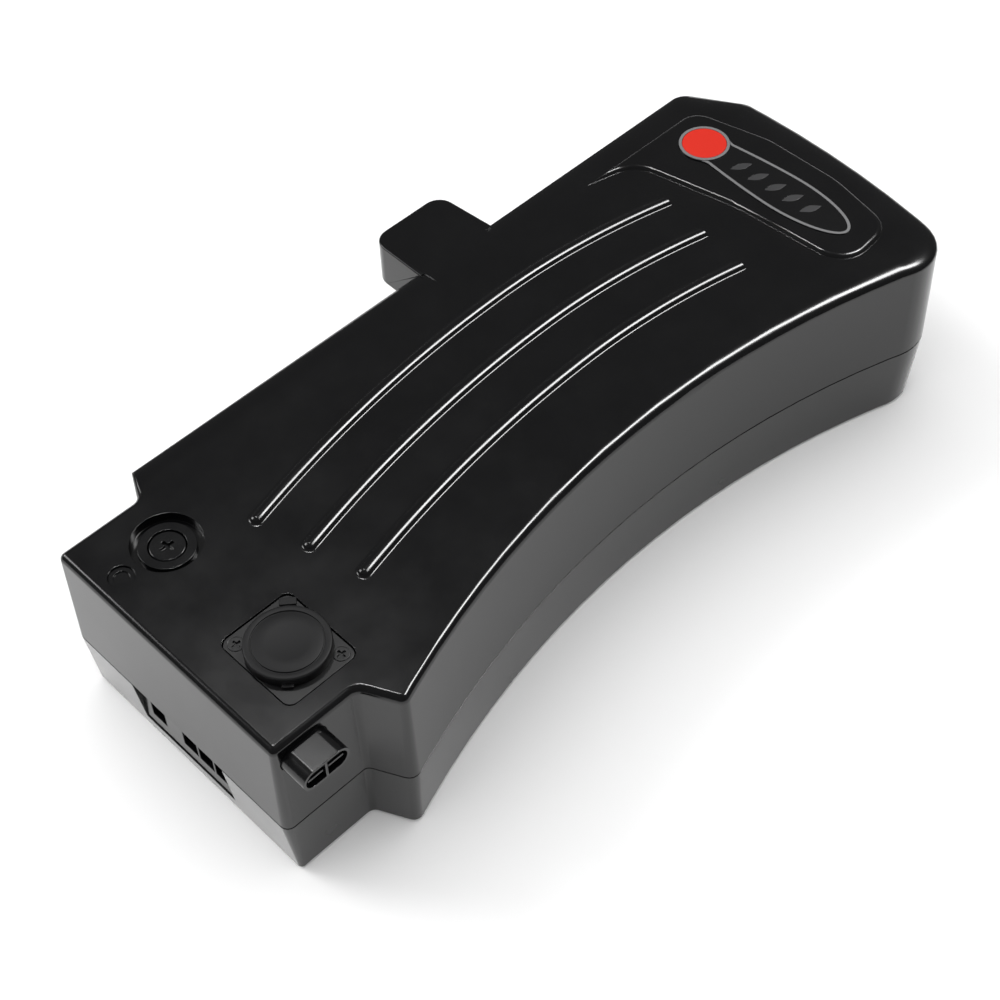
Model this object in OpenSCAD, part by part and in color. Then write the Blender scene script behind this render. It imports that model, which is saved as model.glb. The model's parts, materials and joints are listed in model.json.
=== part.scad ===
// E-bike battery, lying on its broad side: a neck with the connections at one
// end, a charge gauge at the other, one straight side and one hollow curved side.
// Drawing frame: x from the neck end, y from the straight side (the curved side
// is at negative y), z from the underside. placed() moves it to the row frame.

/* [Case] */
// Length from the neck end to the gauge end
case_len = 304; // [300:0.5:308]
// Height of the closed case, lying on its broad side
case_h = 67; // [66:0.25:69]
// Height of the tray, up to the seam
tray_h = 26.6; // [25:0.2:28]
// Wall thickness of shell and tray
wall = 2.8; // [2.4:0.1:3]
// Depth of the case at the middle of the curved side
waist_w = 101.9; // [101.5:0.1:104]
// Distance from the neck end to the middle of the curved side
waist_x = 163.6; // [160:0.2:166]
// Radius of the curved side
curve_r = 350; // [340:1:380]
// Radius of the bowed gauge end
end_r = 350; // [320:1:400]
// Distance from the straight side to the furthest point of the gauge end
end_apex = 40; // [36:0.5:44]
// Visible gap of the seam
seam_gap = 0.4; // [0.3:0.05:0.6]

/* [Neck] */
// Length of the neck on the curved side
neck_len = 31.2; // [30.6:0.1:32]
// Width of the neck
neck_w = 101; // [100:0.5:102]
// Set-back of the neck from the straight side
neck_step = 10.5; // [10:0.25:11]
// Run of the shoulder on the curved side
shoulder_run = 7; // [6:0.25:8]
// Distance from the neck end to the corner of the straight side
far_shoulder_x = 36.3; // [35.6:0.1:37]
// Run of the shoulder on the straight side
far_shoulder_run = 5.8; // [5:0.2:6.4]

/* [Corners and edges] */
// Plan radius of the neck's corners
neck_corner_r = 3; // [2:0.25:4]
// Plan radius where shoulder and neck meet
notch_r = 2.4; // [2:0.2:3]
// Plan radius of the two shoulder corners
shoulder_r = 3.6; // [2.5:0.1:4]
// Plan radius of the gauge end's corner on the curved side
tail_corner_r = 17.5; // [16:0.5:19]
// Plan radius of the two bevel corners on the straight side
bevel_corner_r = 9; // [7:0.5:10]
// Length of the corner bevel along the straight side
bevel_len = 14.4; // [13.5:0.2:15]
// Length of the corner bevel along the gauge end
bevel_w = 22.2; // [20:0.2:24]
// Edge radius of the top round the neck
neck_edge = 2.4; // [2:0.1:2.6]
// Edge radius of the top at the tail of the curved side
tail_edge = 5.6; // [4.5:0.1:6]
// Width of the roll-off along the straight side
side_roll_w = 8.4; // [7:0.2:9]
// Drop of the roll-off along the straight side
side_roll_h = 4; // [3:0.2:4.4]
// Width of the roll-off at the gauge end
end_roll_w = 13; // [11:0.5:14]
// Drop of the roll-off at the gauge end
end_roll_h = 5.6; // [4.5:0.1:6]
// Draft of the shell wall, seam to top
shell_draft = 0.9; // [0.6:0.1:1.1]
// Draft of the tray wall, seam to underside
tray_draft = 0.6; // [0.4:0.1:1]
// Set-back of the underside at the neck end
tray_neck_back = 2.7; // [2:0.1:3]
// Set-back of the underside at the gauge end
tray_end_back = 3.4; // [2.5:0.1:3.6]
// Edge radius of the underside
foot_r = 1.4; // [1:0.1:1.6]

/* [Lug] */
// Distance from the neck end to the lug
lug_x = 157.8; // [155:0.2:160]
// Width of the lug at its tip
lug_w = 31.6; // [30:0.2:33]
// Reach of the lug beyond the straight side
lug_out = 22.2; // [20:0.2:24]
// Height of the lug, down from the top
lug_h = 17.5; // [16:0.25:19]
// Widening of the lug towards its root
lug_flare = 2; // [1:0.2:3]
// Plan radius of the lug's corners
lug_r = 6.4; // [5:0.2:7]
// Edge radius of the lug's top
lug_edge = 1.4; // [1:0.1:1.6]

/* [Ribs] */
// Width of a rib
rib_w = 3; // [2.4:0.1:3.4]
// Height of a rib above the top
rib_h = 1.3; // [1:0.05:1.6]
// Distance from rib to rib
rib_pitch = 20.2; // [19:0.1:21]
// Distance from the straight side to the crest of the first rib
rib_first_y = 27.9; // [27:0.1:29.5]
// Distance from the neck end to the crest of the ribs
rib_apex_x = 171; // [168:0.5:174]
// Bend radius of a rib on the neck side
rib_neck_bend = 450; // [420:5:500]
// Bend radius of a rib on the gauge side
rib_tail_bend = 270; // [250:5:290]
// Distance from the neck end to the first rib
rib_start_x = 51.6; // [50:0.2:53]
// Length of the first rib along the case
rib_len = 190; // [186:0.5:192]

/* [Gauge] */
// Rise of the gauge pad above the top
pad_rise = 1.2; // [0.9:0.05:1.5]
// Width of the step round the pad
pad_step = 2; // [1.5:0.1:2.4]
// Distance from the neck end to the middle of the gauge
gauge_x = 272.1; // [271.5:0.1:272.5]
// Distance from the straight side to the push button
button_y = 27.5; // [27:0.1:28]
// Diameter of the push button
button_d = 15.8; // [15.4:0.1:16]
// Travel of the push button
button_travel = 0.8; // [0.6:0.05:0.9]
// Radius of the printed ring round the button
ring_r = 9.1; // [9:0.05:9.4]
// Thickness of the printed film
film_t = 0.3; // [0.2:0.02:0.4]
// Half-width of the film's drop shape
drop_w = 9.25; // [9:0.05:9.4]
// Half-width of the drop where it meets the ring
drop_neck_w = 7; // [6.8:0.05:7.4]
// Distance from the straight side to the drop's widest place
drop_y = 65; // [64:0.25:66]
// Reach of the drop from its widest place to its tip
drop_tail = 27.4; // [26.5:0.1:28]
// Number of lamp windows
lamp_count = 5; // [5:1:5]
// Distance from lamp to lamp
lamp_pitch = 7.8; // [7.5:0.05:7.9]
// Length of a lamp window
lamp_len = 8.4; // [7.8:0.1:8.8]
// Width of a lamp window
lamp_w = 3; // [2.6:0.1:3.2]

/* [Fuse holder] */
// Distance from the neck end to the fuse holder
fuse_x = 26.8; // [26.4:0.1:27.2]
// Distance from the straight side to the fuse holder
fuse_y = 31.3; // [30.8:0.1:31.8]
// Diameter of the recess around the fuse holder
fuse_pocket_d = 22.4; // [22:0.1:22.8]
// Diameter of the fuse holder's flange
fuse_rim_d = 18; // [17.6:0.1:18.4]
// Diameter of the fuse cap
fuse_cap_d = 11.4; // [11.2:0.1:11.6]
// Diameter of the holder's barrel
fuse_barrel_d = 15; // [14.6:0.1:15.2]
// Length of the holder's barrel below the shell
fuse_barrel_len = 35; // [33:0.5:36]
// Diameter of the fuse link
fuse_link_d = 6.3; // [6:0.1:6.4]
// Length of the fuse link
fuse_link_len = 30; // [28:0.5:30]

/* [Charge socket] */
// Distance from the neck end to the socket
socket_x = 27.4; // [26.8:0.1:27.8]
// Distance from the straight side to the socket
socket_y = 86.6; // [86:0.1:87]
// Width of the socket's flange
flange_w = 26; // [25.6:0.1:26.4]
// Length of the socket's flange
flange_l = 31; // [30.6:0.1:31.4]
// Spacing of the flange screws across
flange_screw_x = 19; // [18.8:0.1:19.2]
// Spacing of the flange screws along
flange_screw_y = 24; // [23.8:0.1:24.2]
// Diameter of the socket's bore
socket_bore_d = 19.2; // [19:0.1:19.4]
// Diameter of the dust cap
cap_d = 26; // [25.4:0.1:26.4]
// Height of the dust cap above the flange
cap_h = 3.6; // [3.2:0.1:4]

/* [Output connector] */
// Distance from the neck end to the middle of the connector
outlet_x = 11.4; // [11.2:0.1:12]
// Height of the connector's middle above the underside
outlet_z = 59; // [58.6:0.1:59.2]
// Width of the connector
outlet_w = 17; // [16.6:0.1:17.4]
// Thickness of the connector
outlet_t = 8.3; // [8:0.1:8.4]
// Reach of the connector out of the neck
outlet_reach = 8.9; // [8.6:0.1:9.2]

/* [Dock terminals] */
// Distance from the straight side to the middle of the terminal block
block_y = 59.8; // [59.4:0.1:60.2]
// Width of the terminal block
block_w = 42.8; // [42.4:0.1:43.2]
// Height of the block's foot above the underside
block_z = 7; // [6.6:0.1:7.4]
// Depth of the terminal block
block_depth = 20; // [18:0.5:21]
// Distance from slot to slot
slot_pitch = 7.75; // [7.7:0.05:7.85]
// Width of a slot
slot_w = 6.8; // [6.4:0.1:6.9]
// Height of a slot
slot_h = 13; // [12.6:0.1:13.4]

/* [Cells] */
// Diameter of a cell
cell_d = 18.3; // [18:0.1:18.4]
// Length of a cell
cell_len = 65; // [64:0.25:65.2]
// Distance from cell to cell
cell_pitch = 18.8; // [18.7:0.02:18.8]
// Cells along the case
cell_columns = 13; // [12:1:13]
// Layers of cells
cell_layers = 3; // [3:1:3]
// Thickness of a cell holder
holder_t = 7; // [6:0.25:8]
// Thickness of the nickel strips
strip_t = 0.3; // [0.2:0.02:0.4]

/* [Protection board] */
// Length of the board
board_len = 130; // [120:1:140]
// Height of the board
board_h = 44; // [40:1:46]
// Thickness of the board
board_t = 1.6; // [1.4:0.1:1.8]

/* [Fasteners] */
// Shank diameter of the case screws
case_screw_d = 3; // [2.8:0.1:3]
// Head diameter of the case screws
case_head_d = 5.6; // [5.2:0.1:5.8]
// Diameter of the screw bosses
boss_d = 8.4; // [8:0.1:8.6]

/* [Hidden] */

over = 1;
thin = 0.02;
steps_small = 4;
steps_large = 9;
large_r = 7;
min_r = 0.5;
smooth_cos = 0.98;
fine = 64;
round_fn = 40;

// Small vector helpers
function unit(v) = v / norm(v);
function left(v) = [-v[1], v[0]];
function mix(a, b, t) = a + (b - a) * t;
function flat(lists) = [for (l = lists) for (p = l) p];
function turn_sign(a, b) = sign(a[0] * b[1] - a[1] * b[0]);

// Curved side and bowed end of the case
function curve_y(x) = sqrt(curve_r ^ 2 - (x - waist_x) ^ 2) - curve_r - waist_w;
function end_x(y) = sqrt(end_r ^ 2 - (y + end_apex) ^ 2) - end_r + case_len;

neck_far_y = -neck_step;
neck_near_y = -neck_step - neck_w;
shoulder_x = neck_len + shoulder_run;
tail_guess = end_x(curve_y(end_x(curve_y(case_len - tail_corner_r))));
tail_x = end_x(curve_y(tail_guess));
tail_y = curve_y(tail_x);
curve_first_x = shoulder_x + 2 * shoulder_r;
corner_reach = 1.3;
curve_last_x = tail_x - corner_reach * tail_corner_r;
curve_count = 18;
end_first_y = tail_y + corner_reach * tail_corner_r;
end_last_y = -bevel_w - bevel_corner_r;
end_count = 5;

// One corner of the case: place, plan radius, and for the side that leaves it
// the width and drop of the top edge and the set-back of the underside
function corner(x, y, r, w, h, back) = [[x, y], r, w, h, back];
case_corners = concat(
    [corner(0, neck_near_y, neck_corner_r, neck_edge, neck_edge, tray_draft),
     corner(neck_len, neck_near_y, notch_r, neck_edge, neck_edge, tray_draft),
     corner(shoulder_x, curve_y(shoulder_x), shoulder_r, neck_edge, neck_edge, tray_draft)],
    [for (i = [0:curve_count])
        let (t = i / curve_count, x = mix(curve_first_x, curve_last_x, t), e = mix(neck_edge,
            tail_edge, t))
        corner(x, curve_y(x), 0, e, e, tray_draft)],
    [corner(tail_x, tail_y, tail_corner_r, end_roll_w, end_roll_h, tray_end_back)],
    [for (i = [0:end_count])
        let (y = mix(end_first_y, end_last_y, i / end_count))
        corner(end_x(y), y, 0, end_roll_w, end_roll_h, tray_end_back)],
    [corner(end_x(-bevel_w), -bevel_w, bevel_corner_r, (end_roll_w + side_roll_w) / 2,
        (end_roll_h + side_roll_h) / 2, (tray_end_back + tray_draft) / 2),
     corner(case_len - bevel_len, 0, bevel_corner_r, side_roll_w, side_roll_h, tray_draft),
     corner(far_shoulder_x, 0, notch_r, neck_edge, neck_edge, tray_draft),
     corner(far_shoulder_x - far_shoulder_run, neck_far_y, notch_r, neck_edge, neck_edge, tray_draft),
     corner(0, neck_far_y, neck_corner_r, neck_edge, neck_edge, tray_neck_back)]);
corner_total = len(case_corners);
case_points = [for (c = case_corners) c[0]];
case_radii = [for (c = case_corners) c[1]];
roll_ws = [for (c = case_corners) c[2]];
roll_hs = [for (c = case_corners) c[3]];
foot_backs = [for (c = case_corners) c[4]];

// Inward move of a corner between sides a and b, set in by wa and wb
function shift(a, b, wa, wb) =
    let (na = left(a), nb = left(b), c = na * nb)
    c > smooth_cos ? (na + nb) * (wa + wb) / 4 : (na * (wa - c * wb) + nb * (wb - c * wa)) / (1 - c * c);
function inset(points, ws) =
    let (n = len(points))
    [for (i = [0:n - 1])
        let (j = (i + n - 1) % n, k = (i + 1) % n)
        points[i] + shift(unit(points[i] - points[j]), unit(points[k] - points[i]), ws[j], ws[i])];

// Corner radii of an outline that is set in by ws
function inset_radii(points, radii, ws) =
    let (n = len(points))
    [for (i = [0:n - 1])
        let (j = (i + n - 1) % n, k = (i + 1) % n,
             s = turn_sign(points[i] - points[j], points[k] - points[i]))
        radii[i] == 0 ? 0 : max(radii[i] - s * (ws[j] + ws[i]) / 2, min_r)];

// Points of one corner's arc, or the corner itself where it has no radius
function corner_steps(r) = r == 0 ? 0 : r > large_r ? steps_large : steps_small;
function corner_arc(p, q, s, r, steps) =
    steps == 0 ? [q] :
    let (u = unit(q - p), v = unit(s - q), side = turn_sign(u, v),
         turn = acos(max(-1, min(1, u * v))),
         start = q - u * r * tan(turn / 2), middle = start + side * left(u) * r)
    [for (i = [0:steps])
        let (a = turn * i / steps)
        middle + r * (u * sin(a) - side * left(u) * cos(a))];
function rounded(points, radii, steps) =
    let (n = len(points))
    flat([for (i = [0:n - 1])
        corner_arc(points[(i + n - 1) % n], points[i], points[(i + 1) % n], radii[i], steps[i])]);

// Values of the sides, spread over the points of the rounded outline
function spread(values, steps) =
    let (n = len(values))
    flat([for (i = [0:n - 1])
        let (a = values[(i + n - 1) % n], b = values[i])
        steps[i] == 0 ? [(a + b) / 2] : [for (j = [0:steps[i]]) mix(a, b, j / steps[i])]]);

case_steps = [for (r = case_radii) corner_steps(r)];
roll_h_points = spread(roll_hs, case_steps);
function same(w) = [for (i = [0:corner_total - 1]) w];
function plus(ws, w) = [for (x = ws) x + w];
function times(ws, s) = [for (x = ws) x * s];
function outline(ws) = rounded(inset(case_points, ws), inset_radii(case_points, case_radii, ws),
    case_steps);
function level(points, zs) = [for (i = [0:len(points) - 1]) [points[i][0], points[i][1], zs[i]]];
function level_at(points, z) = [for (p = points) [p[0], p[1], z]];

seam_outline = outline(same(0));
y_low = min([for (p = seam_outline) p[1]]);
y_mid = (y_low + lug_out) / 2;
module placed() {
    translate([-case_len / 2, -y_mid, 0]) children();
}

// A closed skin over rings of points that all run anti-clockwise
module skin(rings) {
    n = len(rings[0]);
    last = len(rings) - 1;
    sides = [for (i = [0:last - 1]) for (j = [0:n - 1])
        let (k = (j + 1) % n, a = i * n + j, b = i * n + k, c = (i + 1) * n + k, d = (i + 1) * n + j)
        each [[a, d, c], [a, c, b]]];
    polyhedron(
        points = flat(rings),
        faces = concat([[for (j = [0:n - 1]) j]], sides, [[for (j = [0:n - 1]) last * n + n - 1 - j]]),
        convexity = 12);
}
function reversed(list) = [for (i = [len(list) - 1:-1:0]) list[i]];

// Space over or under a level, to cut a skin off flat
module space_from(z, up) {
    translate([-over, y_low - over, up ? z : z - case_h])
        cube([case_len + 2 * over, lug_out - y_low + 2 * over, case_h]);
}

// Main heights
roof_z = case_h - wall;
shell_z = tray_h + seam_gap / 2;
tray_top = tray_h - seam_gap / 2;
roll_turns = [0, 18, 36, 54, 72, 90];
inner_roll_turns = [0, 45, 90];

// Rings of the shell's outside from the seam upwards, and of its inside
function shell_ring(a, extra, lower) =
    let (ws = plus(times(roll_ws, 1 - cos(a)), shell_draft + extra))
    level(outline(ws), [for (h = roll_h_points) case_h - lower - h * (1 - sin(a))]);
shell_outer = concat(
    [level_at(outline(same(0)), shell_z)],
    [for (a = roll_turns) shell_ring(a, 0, 0)],
    [shell_ring(90, 0, -over)]);
shell_inner = concat(
    [level_at(outline(same(wall)), shell_z - over)],
    [level_at(outline(same(wall)), shell_z)],
    [for (a = inner_roll_turns) shell_ring(a, wall, wall)],
    [shell_ring(90, wall, wall - over)]);

// Rings of the tray from the underside upwards, and of its inside
function tray_ring(share, extra, z) = level_at(outline(plus(times(foot_backs, share), extra)), z);
tray_outer = [
    tray_ring(1, foot_r, -over),
    tray_ring(1, foot_r, 0),
    tray_ring(1, foot_r * (1 - cos(45)), foot_r * (1 - sin(45))),
    tray_ring(1 - foot_r / tray_top, 0, foot_r),
    tray_ring(0, 0, tray_top)];
tray_inner = [
    tray_ring(1, wall, wall - over),
    tray_ring(1, wall, wall),
    tray_ring(0, wall, tray_top),
    tray_ring(0, wall, tray_top + over)];

// Places of the screws that close the case from below
tail_boss_in = 9.4;
neck_boss_in = 17.5;
outer_screw_run = 104;
outer_screw_in = 7;
inner_screw_run = 43;
inner_screw_in = 5.2;
function near_screw(run, inward) = [waist_x + run, curve_y(waist_x + run) + wall + inward];
screw_places = [
    [boss_d, neck_near_y + neck_boss_in],
    near_screw(-outer_screw_run, outer_screw_in),
    near_screw(-inner_screw_run, inner_screw_in),
    near_screw(inner_screw_run, inner_screw_in),
    near_screw(outer_screw_run, outer_screw_in),
    [end_x(-end_apex) - tail_boss_in, -end_apex],
    [end_x(-end_apex * 2) - tail_boss_in, -end_apex * 2]];
module at_screws() {
    for (p = screw_places) translate(p) children();
}

// Screw closing the neck from above, under a plug
neck_screw_x = 9.4;
neck_screw_y = -31.9;
plug_d = 8;
plug_h = 1.6;
plug_sink = 0.6;
plug_dish_d = 5;
plug_dish = 0.5;
neck_head_h = 2.4;
neck_pocket_h = plug_sink + plug_h + neck_head_h;
neck_pocket_wall = 1.4;
module at_neck_screw() {
    translate([neck_screw_x, neck_screw_y, 0]) children();
}

// Fits
screw_play = 0.05;
hole_play = 0.2;
counterbore_play = 0.3;
screw_head_h = 3;
screw_head_z = 8;
screw_bite = 14;
pilot_depth = screw_bite + 3;

// Gauge end
pad_z = case_h + pad_rise;
film_z = pad_z + film_t;
button_proud = 0.4;
button_play = 0.15;
button_lip = 1.2;
button_lip_h = 1;
button_nub_d = 2.4;
switch_w = 6.2;
switch_h = 1.2;
switch_hole_d = 3;
switch_gap = 0.1;
lamp_turn = -26;
lamp_first_y = -44.7;
lamp_play = 0.05;
lamp_body_w = 2;
lamp_body_l = 3;
lamp_body_h = 0.8;
lamp_air = 0.4;
gauge_hollow = 1.6;
gauge_hollow_w = 23;
gauge_hollow_near = 17;
gauge_hollow_far = 97;
gauge_board_t = 1;
gauge_board_w = 20;
gauge_board_near = 20;
gauge_board_far = 94;
hollow_z = roof_z + gauge_hollow;
gauge_board_z = hollow_z - button_lip_h - button_travel - switch_gap - switch_h;
gauge_post_d = 4.4;
gauge_screw_d = 2;
gauge_head_d = 3.4;
gauge_head_h = 0.8;
gauge_screw_len = 2.6;
gauge_posts = [
    [gauge_x - gauge_board_w / 2 + gauge_post_d / 2, lamp_first_y + lamp_pitch / 2],
    [gauge_x - gauge_board_w / 2 + gauge_post_d / 2, lamp_first_y - lamp_count * lamp_pitch]];
module at_button() {
    translate([gauge_x, -button_y, 0]) children();
}
module at_lamps() {
    for (i = [0:lamp_count - 1])
        translate([gauge_x, lamp_first_y - i * lamp_pitch, 0]) children();
}

// Leaf between two arcs, grown by g all round
module leaf(g = 0) {
    leaf_points = 10;
    half = lamp_len / 2 + g;
    belly = lamp_w / 2 + g;
    rotate(lamp_turn)
        polygon(concat(
            [for (i = [0:leaf_points - 1]) let (t = i / leaf_points) [mix(-half, half, t),
                -belly * sin(180 * t)]],
            [for (i = [0:leaf_points - 1]) let (t = i / leaf_points) [mix(half, -half, t),
                belly * sin(180 * t)]]));
}

// Outline of the film: a ring round the button, a narrow neck and a long belly round the lamps
module film_outline() {
    belly_points = 24;
    neck_points = 12;
    neck_swell = 1.6;
    ring_step = 4;
    ring_end = 28;
    button_run = drop_y - button_y;
    neck_run = button_run - (ring_r + drop_neck_w) / 2;
    side = concat(
        [for (a = [90 - ring_step / 2:-ring_step:-ring_end])
            [ring_r * cos(a), button_run + ring_r * sin(a)]],
        [for (i = [0:neck_points - 1]) let (t = 1 - i / neck_points)
            [mix(drop_w, drop_neck_w, t ^ neck_swell), neck_run * t]]);
    belly = [for (i = [0:belly_points]) let (a = 180 * i / belly_points)
        [drop_w * cos(a), -drop_tail * sin(a)]];
    translate([gauge_x, -drop_y])
        polygon(concat(side, belly, reversed([for (p = side) [-p[0], p[1]]])));
}

// Outline of the raised gauge pad, from its flared tip on the straight side
pad_front_x = 257;
pad_in_x = 291;
pad_side_y = -12;
pad_far_y = -102.5;
pad_flare = 28;
pad_corners = [
    [pad_front_x - pad_flare, pad_side_y], [pad_front_x - pad_flare / 3, pad_side_y - pad_flare / 6],
    [pad_front_x - lug_edge / 2, mix(pad_side_y, pad_far_y, 1 / 2)], [pad_front_x + pad_step, pad_far_y],
    [pad_in_x - pad_step * 3, pad_far_y + pad_step], [pad_in_x, mix(pad_side_y, pad_far_y, 2 / 3)],
    [pad_in_x, mix(pad_side_y, pad_far_y, 1 / 3)], [pad_in_x - bevel_len / 2, pad_side_y]];
pad_radii = [0, 12, 60, 11, 11, 40, 20, 8];
pad_steps = [0, 6, 3, 6, 6, 3, 3, 5];
function pad_ring(w, z) =
    let (ws = [for (p = pad_corners) w], back = reversed(pad_corners))
    level_at(rounded(inset(pad_corners, ws), inset_radii(pad_corners, pad_radii, ws), pad_steps), z);

pad_foot_share = 0.35;
pad_rise_share = 0.7;
module pad() {
    skin([pad_ring(0, case_h - wall / 2), pad_ring(0, case_h),
        pad_ring(pad_step * pad_foot_share, case_h + pad_rise * pad_rise_share), pad_ring(pad_step, pad_z)]);
}

// Raised rib number i, a low arch with domed ends
rib_stations = 22;
rib_sink = 0.6;
rib_inset_neck = 4.8;
rib_inset_tail = 3;
rib_dome = 1.6;
rib_tip_share = 0.45;
rib_profile_shares = [[-1, 0], [-0.82, 0.55], [-0.4, 0.93], [0, 1], [0.4, 0.93], [0.82, 0.55], [1, 0]];
function rib_y(x, i) =
    let (d = x - rib_apex_x, bend = d < 0 ? rib_neck_bend : rib_tail_bend)
    -rib_first_y - i * rib_pitch - d ^ 2 / (2 * bend);
function rib_ring(x, i, s) =
    [for (p = reversed(concat([[-1, -rib_sink / rib_h / s]], rib_profile_shares, [[1,
        -rib_sink / rib_h / s]])))
        [x, rib_y(x, i) + p[0] * s * rib_w / 2, case_h + p[1] * s * rib_h]];
module rib(i) {
    x0 = rib_start_x + i * rib_inset_neck;
    x1 = rib_start_x + rib_len - i * rib_inset_tail;
    skin([for (j = [0:rib_stations])
        let (t = j / rib_stations,
             x = j == 0 ? x0 : j == rib_stations ? x1 : mix(x0 + rib_dome, x1 - rib_dome,
                 (j - 1) / (rib_stations - 2)),
             s = j == 0 || j == rib_stations ? rib_tip_share : 1)
        rib_ring(x, i, s)]);
}

// Lug for the frame's bracket, open below
lug_wall = 3;
lug_edge_share = 0.3;
lug_floor_z = case_h - lug_h;
lug_root = wall;
lug_corners = [[lug_x - lug_flare / 4, -lug_root], [lug_x + lug_w + lug_flare, -lug_root],
    [lug_x + lug_w, lug_out], [lug_x, lug_out]];
lug_radii = [0, 0, lug_r, lug_r];
lug_steps = [0, 0, 7, 7];
function lug_ring(w, z) =
    let (ws = [0, w, w, w])
    level_at(rounded(inset(lug_corners, ws), inset_radii(lug_corners, lug_radii, ws), lug_steps), z);
module lug() {
    difference() {
        union() {
            skin([lug_ring(lug_edge / 2, lug_floor_z), lug_ring(0, lug_floor_z + lug_edge / 2),
                lug_ring(0, case_h - lug_edge),
                lug_ring(lug_edge * lug_edge_share, case_h - lug_edge * lug_edge_share),
                lug_ring(lug_edge, case_h)]);
            crease_w = lug_w - 2 * lug_edge;
            translate([lug_x + lug_edge, -side_roll_w - shell_draft, case_h - side_roll_h])
                cube([crease_w, side_roll_w + shell_draft + lug_r, side_roll_h]);
        }
        pocket_l = lug_out - lug_wall - lug_root;
        translate([lug_x + lug_wall, lug_root, lug_floor_z - over])
            cube([lug_w - 2 * lug_wall, pocket_l, lug_h - lug_wall + over]);
    }
}

// Fuse holder in the neck
fuse_rim_h = 1.8;
fuse_sink = 1.6;
fuse_pocket_h = fuse_rim_h + fuse_sink;
fuse_pocket_wall = 2.4;
fuse_nut_h = 4;
fuse_nut_d = 21;
fuse_cap_play = 0.3;
fuse_bore_d = fuse_cap_d + 2 * fuse_cap_play;
module at_fuse() {
    translate([fuse_x, -fuse_y, 0]) children();
}

// Charge socket in the neck
flange_t = 1.6;
flange_r = 3;
flange_sink = 0.3;
flange_play = 0.3;
flange_z = case_h - flange_sink;
socket_pocket_h = flange_t + flange_sink;
socket_pad_t = 2.4;
socket_body_d = 23.6;
socket_depth = 20;
socket_lead = 4.4;
collar_d = 21;
collar_h = 2.4;
socket_screw_d = 2.8;
socket_head_d = 5;
socket_head_h = 1.4;
module at_socket() {
    translate([socket_x, -socket_y, 0]) children();
}
module flange_plate(w, l, r, h) {
    linear_extrude(h)
        difference() {
            square([w, l], center = true);
            for (sx = [-1, 1]) for (sy = [-1, 1])
                translate([sx * (w / 2 - r), sy * (l / 2 - r)])
                    difference() {
                        translate([sx * r / 2, sy * r / 2]) square([r + thin, r + thin], center = true);
                        circle(r = r, $fn = round_fn);
                    }
        }
}
// The two screws sit on one diagonal, tether and pull tab on the other
module at_socket_screws() {
    for (s = [-1, 1]) translate([s * flange_screw_x / 2, -s * flange_screw_y / 2, 0]) children();
}

// Stadium prism along y, from the wall outwards
module stadium(w, t, from_y, to_y) {
    translate([0, from_y, 0])
        rotate([90, 0, 0])
            linear_extrude(from_y - to_y) {
                square([w - t, t], center = true);
                for (s = [-1, 1]) translate([s * (w - t) / 2, 0]) circle(d = t, $fn = fine);
            }
}
outlet_hole_play = 0.15;
module at_outlet() {
    translate([outlet_x, 0, outlet_z]) children();
}

// Window in the tray end, and the terminal block behind it
block_play = 0.2;
block_face_x = 2.4;
block_top_z = tray_top - block_play;
block_foot_x = 8;
slot_first_y = -76.7;
slot_foot = 5.2;
slot_depth = 14;
slot_places = [0, 1, 2, 4];
blade_t = 0.8;
blade_h = 7;
blade_tip_in = 6;
blade_tail = 5;
module at_slots() {
    for (i = slot_places)
        translate([block_face_x, slot_first_y + i * slot_pitch,
            block_z + slot_foot + slot_h / 2]) children();
}

boss_sink = 0.4;

// A bossed column from z0 to z1 with a blind hole from below
module shell_boss(z0, d, hole_d, hole_h) {
    difference() {
        translate([0, 0, z0]) cylinder(d = d, h = roof_z - z0 + boss_sink, $fn = round_fn);
        translate([0, 0, z0 - over]) cylinder(d = hole_d, h = hole_h + over, $fn = round_fn);
    }
}

// Gasket lying in a groove of the shell's rim
gasket_in = 1;
gasket_w = 0.8;
gasket_play = 0.1;
gasket_rise = 0.6;
module rim_band(w0, w1, z0, z1) {
    translate([0, 0, z0])
        linear_extrude(z1 - z0)
            difference() {
                polygon(outline(same(w0)));
                polygon(outline(same(w1)));
            }
}

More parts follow.
